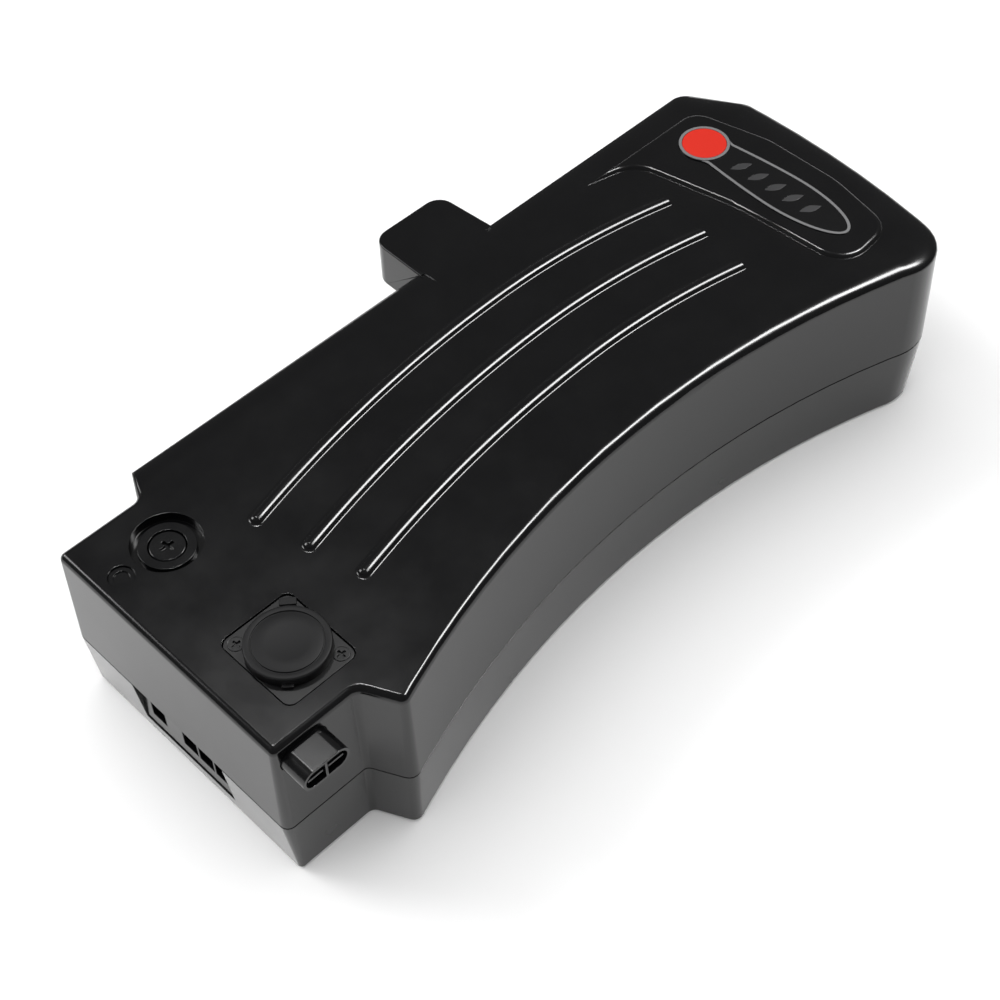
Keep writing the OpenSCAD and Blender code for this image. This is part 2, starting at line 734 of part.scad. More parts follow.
module shell_cuts() {
    rim_band(gasket_in - gasket_play, gasket_in + gasket_w + gasket_play, tray_top,
        shell_z + gasket_rise);
    at_neck_screw() {
        translate([0, 0, case_h - neck_pocket_h])
            cylinder(d = plug_d + 2 * screw_play, h = neck_pocket_h + over, $fn = fine);
        cylinder(d = case_screw_d + 2 * hole_play, h = case_h, $fn = round_fn);
    }
    at_fuse() {
        translate([0, 0, case_h - fuse_pocket_h])
            cylinder(d = fuse_pocket_d, h = fuse_pocket_h + over, $fn = fine);
        cylinder(d = fuse_barrel_d + 2 * screw_play, h = case_h, $fn = fine);
    }
    at_socket() {
        translate([0, 0, case_h - socket_pocket_h])
            flange_plate(flange_w + 2 * flange_play, flange_l + 2 * flange_play, flange_r,
                socket_pocket_h + over);
        translate([0, 0, roof_z - socket_depth])
            cylinder(d = socket_body_d + 2 * hole_play, h = case_h, $fn = fine);
        at_socket_screws()
            translate([0, 0, roof_z - socket_depth])
                cylinder(d = socket_screw_d + 2 * screw_play, h = case_h, $fn = round_fn);
    }
    at_outlet()
        stadium(outlet_w + 2 * outlet_hole_play, outlet_t + 2 * outlet_hole_play,
            neck_near_y + 2 * wall, neck_near_y - over);
    at_button() cylinder(d = button_d + 2 * button_play, h = 2 * case_h, $fn = fine);
    at_lamps() translate([0, 0, roof_z - over]) linear_extrude(case_h) leaf(lamp_play);
    difference() {
        translate([gauge_x - gauge_hollow_w / 2, -gauge_hollow_far, roof_z - over])
            cube([gauge_hollow_w, gauge_hollow_far - gauge_hollow_near, gauge_hollow + over]);
        for (p = gauge_posts)
            translate([p[0], p[1], 0]) cylinder(d = gauge_post_d, h = case_h, $fn = round_fn);
    }
}

module top_shell() {
    color("#1b1b1d")
        placed()
            difference() {
                union() {
                    difference() {
                        skin(shell_outer);
                        space_from(case_h, true);
                        difference() {
                            skin(shell_inner);
                            space_from(roof_z, true);
                        }
                    }
                    lug();
                    for (i = [0:2]) rib(i);
                    pad();
                    at_screws() shell_boss(shell_z, boss_d, case_screw_d + 2 * screw_play, pilot_depth);
                    at_neck_screw()
                        translate([0, 0, roof_z - neck_pocket_h])
                            cylinder(d = plug_d + 2 * neck_pocket_wall, h = neck_pocket_h + wall / 2,
                                $fn = round_fn);
                    at_fuse()
                        translate([0, 0, roof_z - fuse_pocket_wall])
                            cylinder(d = fuse_pocket_d + 2 * fuse_pocket_wall, h = wall, $fn = fine);
                    at_socket()
                        translate([0, 0, roof_z - socket_pad_t])
                            flange_plate(flange_w + wall, flange_l + wall, flange_r, wall);
                    for (p = gauge_posts)
                        translate([p[0], p[1], gauge_board_z])
                            cylinder(d = gauge_post_d, h = roof_z - gauge_board_z + wall / 2,
                                $fn = round_fn);
                }
                shell_cuts();
                for (p = gauge_posts)
                    translate([p[0], p[1], gauge_board_z - over])
                        cylinder(d = gauge_screw_d + 2 * screw_play, h = gauge_screw_len + over,
                            $fn = round_fn);
            }
}

// Column of the tray that the neck screw bites
neck_column_z = roof_z - neck_pocket_h - seam_gap;
neck_screw_len = 18;
module bottom_tray() {
    color("#1e1e20")
        placed()
            difference() {
                union() {
                    difference() {
                        skin(tray_outer);
                        space_from(0, false);
                        difference() {
                            skin(tray_inner);
                            space_from(wall, false);
                        }
                    }
                    at_screws()
                        translate([0, 0, foot_r])
                            cylinder(d = boss_d, h = shell_z - foot_r, $fn = round_fn);
                    at_neck_screw()
                        translate([0, 0, foot_r])
                            cylinder(d = boss_d, h = neck_column_z - foot_r, $fn = round_fn);
                }
                at_screws() {
                    translate([0, 0, -over])
                        cylinder(d = case_head_d + 2 * counterbore_play,
                            h = screw_head_z + screw_head_h + over,
                            $fn = round_fn);
                    cylinder(d = case_screw_d + 2 * hole_play, h = case_h, $fn = round_fn);
                }
                at_neck_screw()
                    translate([0, 0, neck_column_z - neck_screw_len])
                        cylinder(d = case_screw_d + 2 * screw_play, h = case_h, $fn = round_fn);
                translate([-over, -block_y - block_w / 2 - block_play, block_z - block_play])
                    cube([block_foot_x + over, block_w + 2 * block_play, tray_h]);
            }
}

module seam_gasket() {
    color("#2b2b2b")
        placed() rim_band(gasket_in, gasket_in + gasket_w, tray_top, shell_z + gasket_rise);
}

// Screws that close the case, heads down in the tray's counterbores
module case_screws() {
    color("#8f9296")
        placed()
            at_screws() {
                difference() {
                    translate([0, 0, screw_head_z])
                        cylinder(d = case_head_d, h = screw_head_h, $fn = round_fn);
                    translate([0, 0, screw_head_z - over])
                        cross_cut(case_head_d, over + screw_head_h / 2);
                }
                translate([0, 0, screw_head_z + screw_head_h])
                    cylinder(d = case_screw_d, h = shell_z + screw_bite - screw_head_z - screw_head_h,
                        $fn = round_fn);
            }
}

// Cross recess for a driver, for a head of diameter d
cross_arm_share = 0.6;
cross_width_share = 0.14;
module cross_cut(d, h) {
    for (a = [0, 90])
        rotate(a)
            translate([-d * cross_arm_share / 2, -d * cross_width_share / 2, 0])
                cube([d * cross_arm_share, d * cross_width_share, h]);
}

module neck_screw() {
    seat_z = case_h - neck_pocket_h;
    color("#8f9296")
        placed()
            at_neck_screw() {
                difference() {
                    translate([0, 0, seat_z]) cylinder(d = case_head_d, h = neck_head_h, $fn = round_fn);
                    translate([0, 0, seat_z + neck_head_h / 2]) cross_cut(case_head_d, neck_head_h);
                }
                translate([0, 0, seat_z - neck_screw_len])
                    cylinder(d = case_screw_d, h = neck_screw_len, $fn = round_fn);
            }
}

module screw_plug() {
    color("#242424")
        placed()
            at_neck_screw()
                translate([0, 0, case_h - plug_sink - plug_h])
                    difference() {
                        cylinder(d = plug_d, h = plug_h, $fn = fine);
                        translate([0, 0, plug_h - plug_dish])
                            cylinder(d = plug_dish_d, h = plug_h, $fn = round_fn);
                    }
}

// Printed film on the gauge pad: a ring round the button and a drop round the lamps
module gauge_film() {
    color("#3a3a3c")
        placed()
            translate([0, 0, pad_z])
                linear_extrude(film_t)
                    difference() {
                        film_outline();
                        translate([gauge_x, -button_y])
                            circle(d = button_d + 2 * button_play, $fn = fine);
                        for (i = [0:lamp_count - 1])
                            translate([gauge_x, lamp_first_y - i * lamp_pitch]) leaf(lamp_play);
                    }
}

module push_button() {
    color("#ee3b24")
        placed()
            at_button() {
                translate([0, 0, hollow_z - button_lip_h])
                    cylinder(d = button_d + 2 * button_lip, h = button_lip_h, $fn = fine);
                translate([0, 0, hollow_z - button_lip_h])
                    cylinder(d = button_d, h = film_z + button_proud - hollow_z + button_lip_h,
                        $fn = fine);
                translate([0, 0, hollow_z - button_lip_h - button_travel])
                    cylinder(d = button_nub_d, h = button_travel + button_lip_h, $fn = round_fn);
            }
}

module lamp_windows() {
    lamp_top = gauge_board_z + lamp_body_h;
    color("#6a6a6c")
        placed()
            at_lamps()
                translate([0, 0, lamp_top + lamp_air])
                    linear_extrude(film_z - lamp_top - lamp_air) leaf();
}

module gauge_board() {
    color("#1f5a34")
        placed()
            difference() {
                translate([gauge_x - gauge_board_w / 2, -gauge_board_far, gauge_board_z - gauge_board_t])
                    cube([gauge_board_w, gauge_board_far - gauge_board_near, gauge_board_t]);
                for (p = gauge_posts)
                    translate([p[0], p[1], 0])
                        cylinder(d = gauge_screw_d + 2 * hole_play, h = case_h, $fn = round_fn);
            }
}

module gauge_lamps() {
    color("#e8e4c8")
        placed()
            at_lamps()
                translate([-lamp_body_l / 2, -lamp_body_w / 2, gauge_board_z])
                    cube([lamp_body_l, lamp_body_w, lamp_body_h]);
}

module button_switch() {
    color("#4a4a4a")
        placed()
            at_button()
                difference() {
                    translate([-switch_w / 2, -switch_w / 2, gauge_board_z])
                        cube([switch_w, switch_w, switch_h]);
                    cylinder(d = switch_hole_d, h = case_h, $fn = round_fn);
                }
}

// Fuse holder: flanged barrel, hexagonal nut below the shell, screwed cap above
fuse_floor_h = 2.6;
fuse_cap_sink = 0.15;
fuse_cap_z = case_h - fuse_sink - fuse_cap_sink;
fuse_cap_l = 14;
fuse_cross_d = 7.6;
fuse_cross_h = 1.2;
fuse_cap_edge = 0.3;
fuse_barrel_foot = roof_z - fuse_barrel_len;
fuse_end_l = 6;
fuse_top_z = fuse_cap_z - fuse_floor_h;
contact_t = 1;
contact_d = 8;
contact_stem_d = 3;
contact_tail = 3;
module fuse_holder() {
    color("#151515")
        placed()
            at_fuse()
                difference() {
                    union() {
                        translate([0, 0, case_h - fuse_pocket_h])
                            cylinder(d = fuse_rim_d, h = fuse_rim_h, $fn = fine);
                        translate([0, 0, fuse_barrel_foot])
                            cylinder(d = fuse_barrel_d, h = case_h - fuse_pocket_h - fuse_barrel_foot,
                                $fn = fine);
                    }
                    translate([0, 0, fuse_barrel_foot + wall / 2])
                        cylinder(d = fuse_bore_d, h = case_h, $fn = fine);
                    cylinder(d = contact_stem_d + 2 * screw_play, h = case_h, $fn = round_fn);
                }
}

module fuse_nut() {
    color("#2a2a2a")
        placed()
            at_fuse()
                translate([0, 0, roof_z - fuse_pocket_wall - fuse_nut_h])
                    difference() {
                        cylinder(d = fuse_nut_d, h = fuse_nut_h, $fn = 6);
                        translate([0, 0, -over])
                            cylinder(d = fuse_barrel_d + 2 * screw_play, h = fuse_nut_h + 2 * over,
                                $fn = fine);
                    }
}

module fuse_contact() {
    contact_z = fuse_top_z - fuse_link_len - contact_t;
    color("#c9a24a")
        placed()
            at_fuse() {
                translate([0, 0, contact_z]) cylinder(d = contact_d, h = contact_t, $fn = round_fn);
                translate([0, 0, fuse_barrel_foot - contact_tail])
                    cylinder(d = contact_stem_d, h = contact_z - fuse_barrel_foot + contact_tail,
                        $fn = round_fn);
            }
}

module fuse_cap() {
    color("#1a1a1a")
        placed()
            at_fuse()
                difference() {
                    union() {
                        translate([0, 0, fuse_cap_z - fuse_cap_l])
                            cylinder(d = fuse_cap_d, h = fuse_cap_l - fuse_cap_edge, $fn = fine);
                        translate([0, 0, fuse_cap_z - fuse_cap_edge])
                            cylinder(d1 = fuse_cap_d, d2 = fuse_cap_d - 2 * fuse_cap_edge,
                                h = fuse_cap_edge, $fn = fine);
                    }
                    translate([0, 0, fuse_cap_z - fuse_cap_l - over])
                        cylinder(d = fuse_link_d + 2 * hole_play,
                            h = fuse_cap_l - fuse_floor_h + over, $fn = fine);
                    translate([0, 0, fuse_cap_z - fuse_cross_h])
                        cross_cut(fuse_cross_d, over + fuse_cross_h);
                }
}

module fuse_link() {
    color("#dfe8ea")
        placed()
            at_fuse()
                translate([0, 0, fuse_top_z - fuse_link_len + fuse_end_l])
                    cylinder(d = fuse_link_d - 2 * screw_play, h = fuse_link_len - 2 * fuse_end_l,
                        $fn = round_fn);
}

module fuse_link_ends() {
    color("#c8c8c8")
        placed()
            at_fuse()
                for (z = [fuse_top_z - fuse_link_len, fuse_top_z - fuse_end_l])
                    translate([0, 0, z]) cylinder(d = fuse_link_d, h = fuse_end_l, $fn = round_fn);
}

// Charge socket: flanged metal body with a collar for the dust cap
socket_foot_z = roof_z - socket_depth;
socket_insert_h = 4;
socket_insert_z = socket_foot_z + socket_insert_h;
socket_seat_d = 16;
socket_step = 0.75;
collar_z = flange_z + collar_h;
pin_d = 2.4;
pin_count = 3;
pin_circle_r = 5;
pin_below = 2;
pin_top_z = collar_z - socket_lead - pin_below;
pin_tail = 3;
module at_pins() {
    for (i = [0:pin_count - 1]) rotate(90 * (i + 1)) translate([pin_circle_r, 0, 0]) children();
}
module socket_body() {
    color("#2c2c2e")
        placed()
            at_socket()
                difference() {
                    union() {
                        translate([0, 0, flange_z - flange_t])
                            flange_plate(flange_w, flange_l, flange_r, flange_t);
                        translate([0, 0, socket_foot_z])
                            cylinder(d = socket_body_d, h = flange_z - socket_foot_z, $fn = fine);
                        translate([0, 0, socket_foot_z])
                            cylinder(d = collar_d, h = collar_z - socket_foot_z, $fn = fine);
                    }
                    translate([0, 0, collar_z - socket_lead])
                        cylinder(d = socket_bore_d, h = socket_lead + over, $fn = fine);
                    translate([0, 0, socket_insert_z])
                        cylinder(d = socket_bore_d - 2 * socket_step, h = case_h, $fn = fine);
                    translate([0, 0, socket_foot_z - over])
                        cylinder(d = socket_seat_d, h = case_h, $fn = fine);
                    at_socket_screws() {
                        translate([0, 0, flange_z - flange_t - over])
                            cylinder(d = socket_screw_d + 2 * screw_play, h = flange_t + 2 * over,
                                $fn = round_fn);
                        translate([0, 0, flange_z - socket_head_h])
                            cylinder(d1 = socket_screw_d + 2 * screw_play,
                                d2 = socket_head_d + 2 * screw_play,
                                h = socket_head_h, $fn = round_fn);
                    }
                }
}

module socket_insert() {
    color("#202022")
        placed()
            at_socket()
                translate([0, 0, socket_insert_z])
                    difference() {
                        cylinder(d = socket_bore_d - 2 * socket_step - 2 * screw_play,
                            h = socket_insert_h, $fn = fine);
                        at_pins()
                            translate([0, 0, -over])
                                cylinder(d = pin_d + 2 * screw_play, h = socket_insert_h + 2 * over,
                                    $fn = round_fn);
                    }
}

module socket_pins() {
    color("#d9b75a")
        placed()
            at_socket()
                at_pins()
                    translate([0, 0, socket_insert_z - pin_tail])
                        cylinder(d = pin_d, h = pin_top_z - socket_insert_z + pin_tail, $fn = round_fn);
}

module socket_screws() {
    socket_screw_len = flange_t + socket_pad_t + wall / 2;
    color("#6f7276")
        placed()
            at_socket()
                at_socket_screws()
                    difference() {
                        union() {
                            translate([0, 0, flange_z - socket_head_h])
                                cylinder(d1 = socket_screw_d, d2 = socket_head_d, h = socket_head_h,
                                    $fn = round_fn);
                            translate([0, 0, flange_z - socket_screw_len])
                                cylinder(d = socket_screw_d, h = socket_screw_len - socket_head_h,
                                    $fn = round_fn);
                        }
                        translate([0, 0, flange_z - socket_head_h / 2]) cross_cut(socket_head_d, over);
                    }
}

// Dust cap, hinged to a tether on the flange's free corner
tether_turn = atan2(flange_l, flange_w);
hinge_r = cap_d / 2 + 2;
tether_gap = 0.15;
tether_l = 2.6;
tether_w = 5;
tether_t = 0.9;
cap_play = 0.3;
cap_skin = 0.9;
cap_lift = 0.05;
nub_w = 3.6;
nub_l = 0.9;
nub_t = 1.1;
cap_round = 0.6;
cap_groove_d = 21.6;
cap_groove_w = 0.4;
cap_groove_h = 0.3;
module cap_tether() {
    color("#303030")
        placed()
            at_socket()
                rotate(tether_turn)
                    translate([hinge_r + tether_gap, -tether_w / 2, flange_z])
                        cube([tether_l, tether_w, tether_t]);
}

module dust_cap() {
    cap_top = flange_z + cap_h;
    color("#3c3c3c")
        placed()
            at_socket() {
                difference() {
                    union() {
                        translate([0, 0, flange_z + cap_lift])
                            cylinder(d = cap_d, h = cap_h - cap_lift - cap_round, $fn = fine);
                        translate([0, 0, cap_top - cap_round])
                            cylinder(d1 = cap_d, d2 = cap_d - 2 * cap_round, h = cap_round, $fn = fine);
                        rotate(tether_turn)
                            translate([cap_d / 2 - cap_skin, -tether_w / 2, flange_z + cap_lift])
                                cube([hinge_r - tether_gap - cap_d / 2 + cap_skin, tether_w,
                                    tether_t - cap_lift]);
                        rotate(tether_turn + 180)
                            translate([cap_d / 2 - cap_skin, -nub_w / 2, flange_z + cap_lift])
                                cube([nub_l + cap_skin, nub_w, nub_t]);
                    }
                    translate([0, 0, flange_z])
                        cylinder(d = collar_d + 2 * cap_play, h = collar_h + cap_play, $fn = fine);
                    translate([0, 0, cap_top - cap_groove_h])
                        difference() {
                            cylinder(d = cap_groove_d + cap_groove_w, h = over, $fn = fine);
                            translate([0, 0, -over])
                                cylinder(d = cap_groove_d - cap_groove_w, h = 3 * over, $fn = fine);
                        }
                }
            }
}

// Output connector on the neck, two cavities with a blade in each
outlet_wall = 1;
outlet_divider = 0.9;
outlet_depth = 12;
outlet_flange = 2.4;
outlet_seat = 0.3;
outlet_flange_t = 1.5;
outlet_blade_w = 5.4;
outlet_blade_tip = 0.6;
outlet_blade_tail = 2.5;
outlet_face_y = neck_near_y - outlet_reach;
outlet_back_y = neck_near_y + wall + shell_draft + outlet_seat + outlet_flange_t;
outlet_blade_x = (outlet_w - 2 * outlet_wall) / 4;
module outlet_housing() {
    color("#0f0f10")
        placed()
            at_outlet()
                difference() {
                    union() {
                        stadium(outlet_w, outlet_t, outlet_back_y, outlet_face_y);
                        translate([outlet_w / 2 - outlet_wall, outlet_back_y - outlet_flange_t,
                            -outlet_t / 4])
                            cube([outlet_wall + outlet_flange, outlet_flange_t, outlet_t / 2]);
                    }
                    difference() {
                        stadium(outlet_w - 2 * outlet_wall, outlet_t - 2 * outlet_wall,
                            outlet_face_y + outlet_depth,
                            outlet_face_y - over);
                        translate([-outlet_divider / 2, outlet_face_y, -outlet_t])
                            cube([outlet_divider, outlet_depth + over, 2 * outlet_t]);
                    }
                    for (s = [-1, 1])
                        translate([s * outlet_blade_x - outlet_blade_w / 2 - screw_play, outlet_face_y,
                            -blade_t / 2 - screw_play])
                            cube([outlet_blade_w + 2 * screw_play, outlet_reach + 2 * wall + over,
                                blade_t + 2 * screw_play]);
                }
}

module outlet_blades() {
    color("#d9b75a")
        placed()
            at_outlet()
                for (s = [-1, 1])
                    translate([s * outlet_blade_x - outlet_blade_w / 2,
                        outlet_face_y + outlet_blade_tip, -blade_t / 2])
                        cube([outlet_blade_w,
                            outlet_back_y - outlet_face_y - outlet_blade_tip + outlet_blade_tail,
                            blade_t]);
}

module terminal_block() {
    color("#101011")
        placed()
            difference() {
                union() {
                    translate([block_face_x, -block_y - block_w / 2, block_z])
                        cube([block_depth, block_w, block_top_z - block_z]);
                    translate([block_foot_x, -block_y - block_w / 2, wall])
                        cube([block_face_x + block_depth - block_foot_x, block_w, block_z]);
                }
                at_slots() {
                    translate([-over, -slot_w / 2, -slot_h / 2])
                        cube([slot_depth + over, slot_w, slot_h]);
                    translate([0, -blade_t / 2 - screw_play, -blade_h / 2 - screw_play])
                        cube([block_depth + over, blade_t + 2 * screw_play, blade_h + 2 * screw_play]);
                }
            }
}

module terminal_blades() {
    color("#d9b75a")
        placed()
            at_slots()
                translate([blade_tip_in, -blade_t / 2, -blade_h / 2])
                    cube([block_depth + blade_tail - blade_tip_in, blade_t, blade_h]);
}

// Cells lie across the case, columns along it, one column to a group
foam_t = 1.2;
cells_x = far_shoulder_x + wall + foam_t * 2;
cells_y = -wall - 3.2;
holder_margin = 0.4;
holder_play = 0.1;
holder_low_z = wall + foam_t;
holder_h = cell_layers * cell_pitch + 2 * holder_margin;
holder_l = cell_columns * cell_pitch + 2 * holder_margin;
holder_top_z = holder_low_z + holder_h;
nub_cell_d = 7;
nub_cell_h = 0.8;
strip_margin = 3;
module at_cells() {
    for (i = [0:cell_columns - 1]) for (k = [0:cell_layers - 1])
        translate([cells_x + holder_margin + (i + 0.5) * cell_pitch, cells_y - cell_len / 2,
            holder_low_z + holder_margin + (k + 0.5) * cell_pitch])
            rotate([90, 0, i % 2 * 180]) children();
}
module cells() {
    color("#3f8f5a")
        placed()
            at_cells() {
                translate([0, 0, -cell_len / 2])
                    cylinder(d = cell_d, h = cell_len - nub_cell_h, $fn = round_fn);
                translate([0, 0, cell_len / 2 - nub_cell_h - thin])
                    cylinder(d = nub_cell_d, h = nub_cell_h + thin, $fn = round_fn);
            }
}
module holder(y) {
    difference() {
        translate([cells_x, y, holder_low_z]) cube([holder_l, holder_t, holder_h]);
        for (i = [0:cell_columns - 1]) for (k = [0:cell_layers - 1])
            translate([cells_x + holder_margin + (i + 0.5) * cell_pitch, y - over,
                holder_low_z + holder_margin + (k + 0.5) * cell_pitch])
                rotate([-90, 0, 0])
                    cylinder(d = cell_d + 2 * holder_play, h = holder_t + 2 * over, $fn = round_fn);
    }
}
module holder_near() {
    color("#2f3336") placed() holder(cells_y - cell_len);
}
module holder_far() {
    color("#2f3336") placed() holder(cells_y - holder_t);
}

// Strips that join neighbouring columns: pairs start at column first
module strips(first, y) {
    for (i = [first:2:cell_columns - 1]) {
        left_column = max(i, 0);
        right_column = min(i + 1, cell_columns - 1);
        translate([cells_x + holder_margin + left_column * cell_pitch + strip_margin, y,
            holder_low_z + strip_margin])
            cube([(right_column - left_column + 1) * cell_pitch - 2 * strip_margin, strip_t,
                holder_h - 2 * strip_margin]);
    }
}
module strips_near() {
    color("#c4c6c8") placed() strips(0, cells_y - cell_len - strip_t);
}
module strips_far() {
    color("#c4c6c8") placed() strips(-1, cells_y);
}

module foam_floor() {
    color("#55585a")
        placed() translate([cells_x, cells_y - cell_len, wall]) cube([holder_l, cell_len, foam_t]);
}
module foam_roof() {
    roof_in = side_roll_w;
    roof_len = gauge_x - gauge_hollow_w / 2 - cells_x - 2 * foam_t;
    color("#55585a")
        placed()
            translate([cells_x + foam_t, cells_y - cell_len, holder_top_z])
                cube([roof_len, cell_len - roof_in, roof_z - holder_top_z]);
}

// Protection board, screwed to rails on the near cell holder
rail_w = 6;
rail_t = 3.6;
board_x = waist_x - board_len / 2;
board_foot = 4;
board_z = holder_low_z + board_foot;
holder_face_y = cells_y - cell_len;
board_y = holder_face_y - rail_t;
board_face_y = board_y - board_t;
switch_count = 9;
fet_w = 9;
fet_h = 10;
fet_t = 4.4;
fet_gap = 2.4;
fet_z = board_z + board_h - fet_h - board_foot;
spreader_t = 2.4;
spreader_margin = 1;
header_w = 28;
header_h = 7;
header_t = 8;
board_screw_d = 2.9;
board_screw_head_d = 5;
board_screw_head_h = 1.8;
board_screw_len = 4.2;
rail_in = 1;
board_screw_z = 4;
module at_board_screws() {
    for (x = [board_x + rail_w / 2, board_x + board_len - rail_w / 2])
        for (z = [board_z + board_screw_z, board_z + board_h - board_screw_z])
            translate([x, 0, z]) rotate([90, 0, 0]) children();
}
module board_rails() {
    color("#2f3336")
        placed()
            difference() {
                for (x = [board_x, board_x + board_len - rail_w])
                    translate([x, board_y, board_z]) cube([rail_w, rail_t - strip_t, board_h]);
                at_board_screws()
                    translate([0, 0, -board_y - board_screw_len])
                        cylinder(d = board_screw_d + 2 * screw_play, h = board_screw_len + over,
                            $fn = round_fn);
            }
}
module protection_board() {
    color("#1f5a34")
        placed()
            difference() {
                translate([board_x, board_face_y, board_z]) cube([board_len, board_t, board_h]);
                at_board_screws()
                    cylinder(d = board_screw_d + 2 * hole_play, h = case_h * 2, $fn = round_fn);
            }
}
module board_switches() {
    color("#19191b")
        placed()
            for (i = [0:switch_count - 1])
                translate([waist_x + (i - (switch_count - 1) / 2) * (fet_w + fet_gap) - fet_w / 2,
                    board_face_y - fet_t, fet_z])
                    cube([fet_w, fet_t, fet_h]);
}
module heat_spreader() {
    spreader_l = switch_count * (fet_w + fet_gap);
    color("#b9bcc0")
        placed()
            translate([waist_x - spreader_l / 2, board_face_y - fet_t - spreader_t,
                fet_z - spreader_margin])
                cube([spreader_l, spreader_t, fet_h + 2 * spreader_margin]);
}
module board_header() {
    color("#e9e6da")
        placed()
            translate([waist_x - header_w / 2, board_face_y - header_t, board_z + header_h])
                difference() {
                    cube([header_w, header_t, header_h]);
                    translate([foam_t, -over, foam_t])
                        cube([header_w - 2 * foam_t, header_t - foam_t + over, header_h - 2 * foam_t]);
                }
}
module board_screws() {
    color("#8f9296")
        placed() {
            at_board_screws() {
                translate([0, 0, -board_face_y])
                    cylinder(d = board_screw_head_d, h = board_screw_head_h, $fn = round_fn);
                translate([0, 0, -board_face_y - board_t - board_screw_len + rail_in])
                    cylinder(d = board_screw_d, h = board_screw_len + board_t - rail_in, $fn = round_fn);
            }
            for (p = gauge_posts)
                translate([p[0], p[1], gauge_board_z - gauge_board_t]) {
                    translate([0, 0, -gauge_head_h])
                        cylinder(d = gauge_head_d, h = gauge_head_h, $fn = round_fn);
                    cylinder(d = gauge_screw_d, h = gauge_screw_len, $fn = round_fn);
                }
        }
}

// Leads inside the case: tubes along smooth curves through named places
lead_sides = 8;
lead_rings = 6;
function bend(p, q, r, s, t) =
    (2 * q + (r - p) * t + (2 * p - 5 * q + 4 * r - s) * t ^ 2 + (3 * q - p - 3 * r + s) * t ^ 3) / 2;
function path(ps) =
    let (n = len(ps))
    concat([for (i = [0:n - 2]) for (j = [0:lead_rings - 1])
        bend(ps[max(i - 1, 0)], ps[i], ps[i + 1], ps[min(i + 2, n - 1)], j / lead_rings)], [ps[n - 1]]);
function tube_ring(p, along, first, d) =
    let (a = unit(along), u = unit(cross(a, first)), v = cross(a, u))
    [for (k = [0:lead_sides - 1]) let (t = 360 * k / lead_sides) p + d / 2 * (u * cos(t) + v * sin(t))];
module lead(ps, d) {
    run = path(ps);
    n = len(run);
    skin([for (i = [0:n - 1])
        tube_ring(run[i], run[min(i + 1, n - 1)] - run[max(i - 1, 0)], [0.2, 0.1, 1], d)]);
}
power_d = 3;
small_d = 1.8;
tab_x = block_face_x + block_depth + blade_tail;
slot_mid_z = block_z + slot_foot + slot_h / 2;
blade_back_y = outlet_back_y + outlet_blade_tail;
board_ends_in = 12;
board_ends_x = board_x + board_ends_in;
board_ends_z = board_z + board_ends_in;
board_ends_step = 7;
power_via = [[[44, -84, 22], [70, -88, 20], [98, -86, 20]],
    [[44, -78, 15], [70, -82, 13], [104, -84, 13]]];
charge_via = [[[46, -80, 33], [76, -84, 29], [112, -87, 27]],
    [[50, -90, 32], [80, -91, 25], [118, -88, 20]]];
outlet_via = [[[22, -101, 50], [40, -102, 44], [72, -87, 36], [126, -87, 34]],
    [[13, -101.4, 47], [28, -104, 40], [70, -90, 32], [130, -89.6, 28]]];
gauge_via = [[266, -92, 54], [238, -92, 42], [200, -89, 26], [176, -89, 20]];

// Straight end of a lead: from place p, step by step along v
function tail_of(p, v) = [p, p + v, p + 2 * v];
module board_end(i, row, via, start) {
    x = board_ends_x + i * board_ends_step;
    z = board_ends_z + row * board_ends_step;
    lead(concat(start, via, reversed(tail_of([x, board_face_y, z], [0, -power_d, 0]))), power_d);
}
module power_leads() {
    color("#b3261e")
        placed()
            for (i = [0, 1])
                board_end(i, -i, power_via[i],
                    tail_of([tab_x, slot_first_y + i * slot_pitch, slot_mid_z], [power_d, 0, 0]));
}
module charge_leads() {
    color("#d8d3c4")
        placed()
            for (i = [0, 1])
                board_end(i + 2, 1 - i, charge_via[i],
                    tail_of([socket_x, (1 - 2 * i) * pin_circle_r - socket_y, socket_insert_z - pin_tail],
                        [0, 0, -power_d]));
}
module outlet_leads() {
    color("#26262a")
        placed()
            for (i = [0, 1])
                board_end(i + 4, 2 - i, outlet_via[i],
                    tail_of([outlet_x + (1 - 2 * i) * outlet_blade_x, blade_back_y, outlet_z],
                        [0, small_d / 2, 0]));
}
module gauge_lead() {
    header_mid_z = board_z + header_h * 3 / 2;
    color("#3b63b5")
        placed()
            lead(concat(
                tail_of([gauge_x, power_d - gauge_board_far, gauge_board_z - gauge_board_t],
                    [0, 0, -power_d]),
                gauge_via,
                reversed(tail_of([waist_x, board_face_y - header_t / 2, header_mid_z], [0, -power_d, 0]))),
                small_d);
}

top_shell();
bottom_tray();
seam_gasket();
case_screws();
neck_screw();
screw_plug();
gauge_film();
push_button();
lamp_windows();
gauge_board();
gauge_lamps();
button_switch();
fuse_holder();
fuse_nut();
fuse_contact();
fuse_cap();
fuse_link();
fuse_link_ends();
socket_body();
socket_insert();
socket_pins();
socket_screws();
cap_tether();
dust_cap();
outlet_housing();
outlet_blades();
terminal_block();
terminal_blades();
cells();
holder_near();
holder_far();
strips_near();
strips_far();
foam_floor();
foam_roof();
board_rails();
protection_board();
board_switches();
heat_spreader();
board_header();
board_screws();
power_leads();
charge_leads();
outlet_leads();
gauge_lead();
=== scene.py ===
import json
import math

import bpy
from mathutils import Matrix, Vector


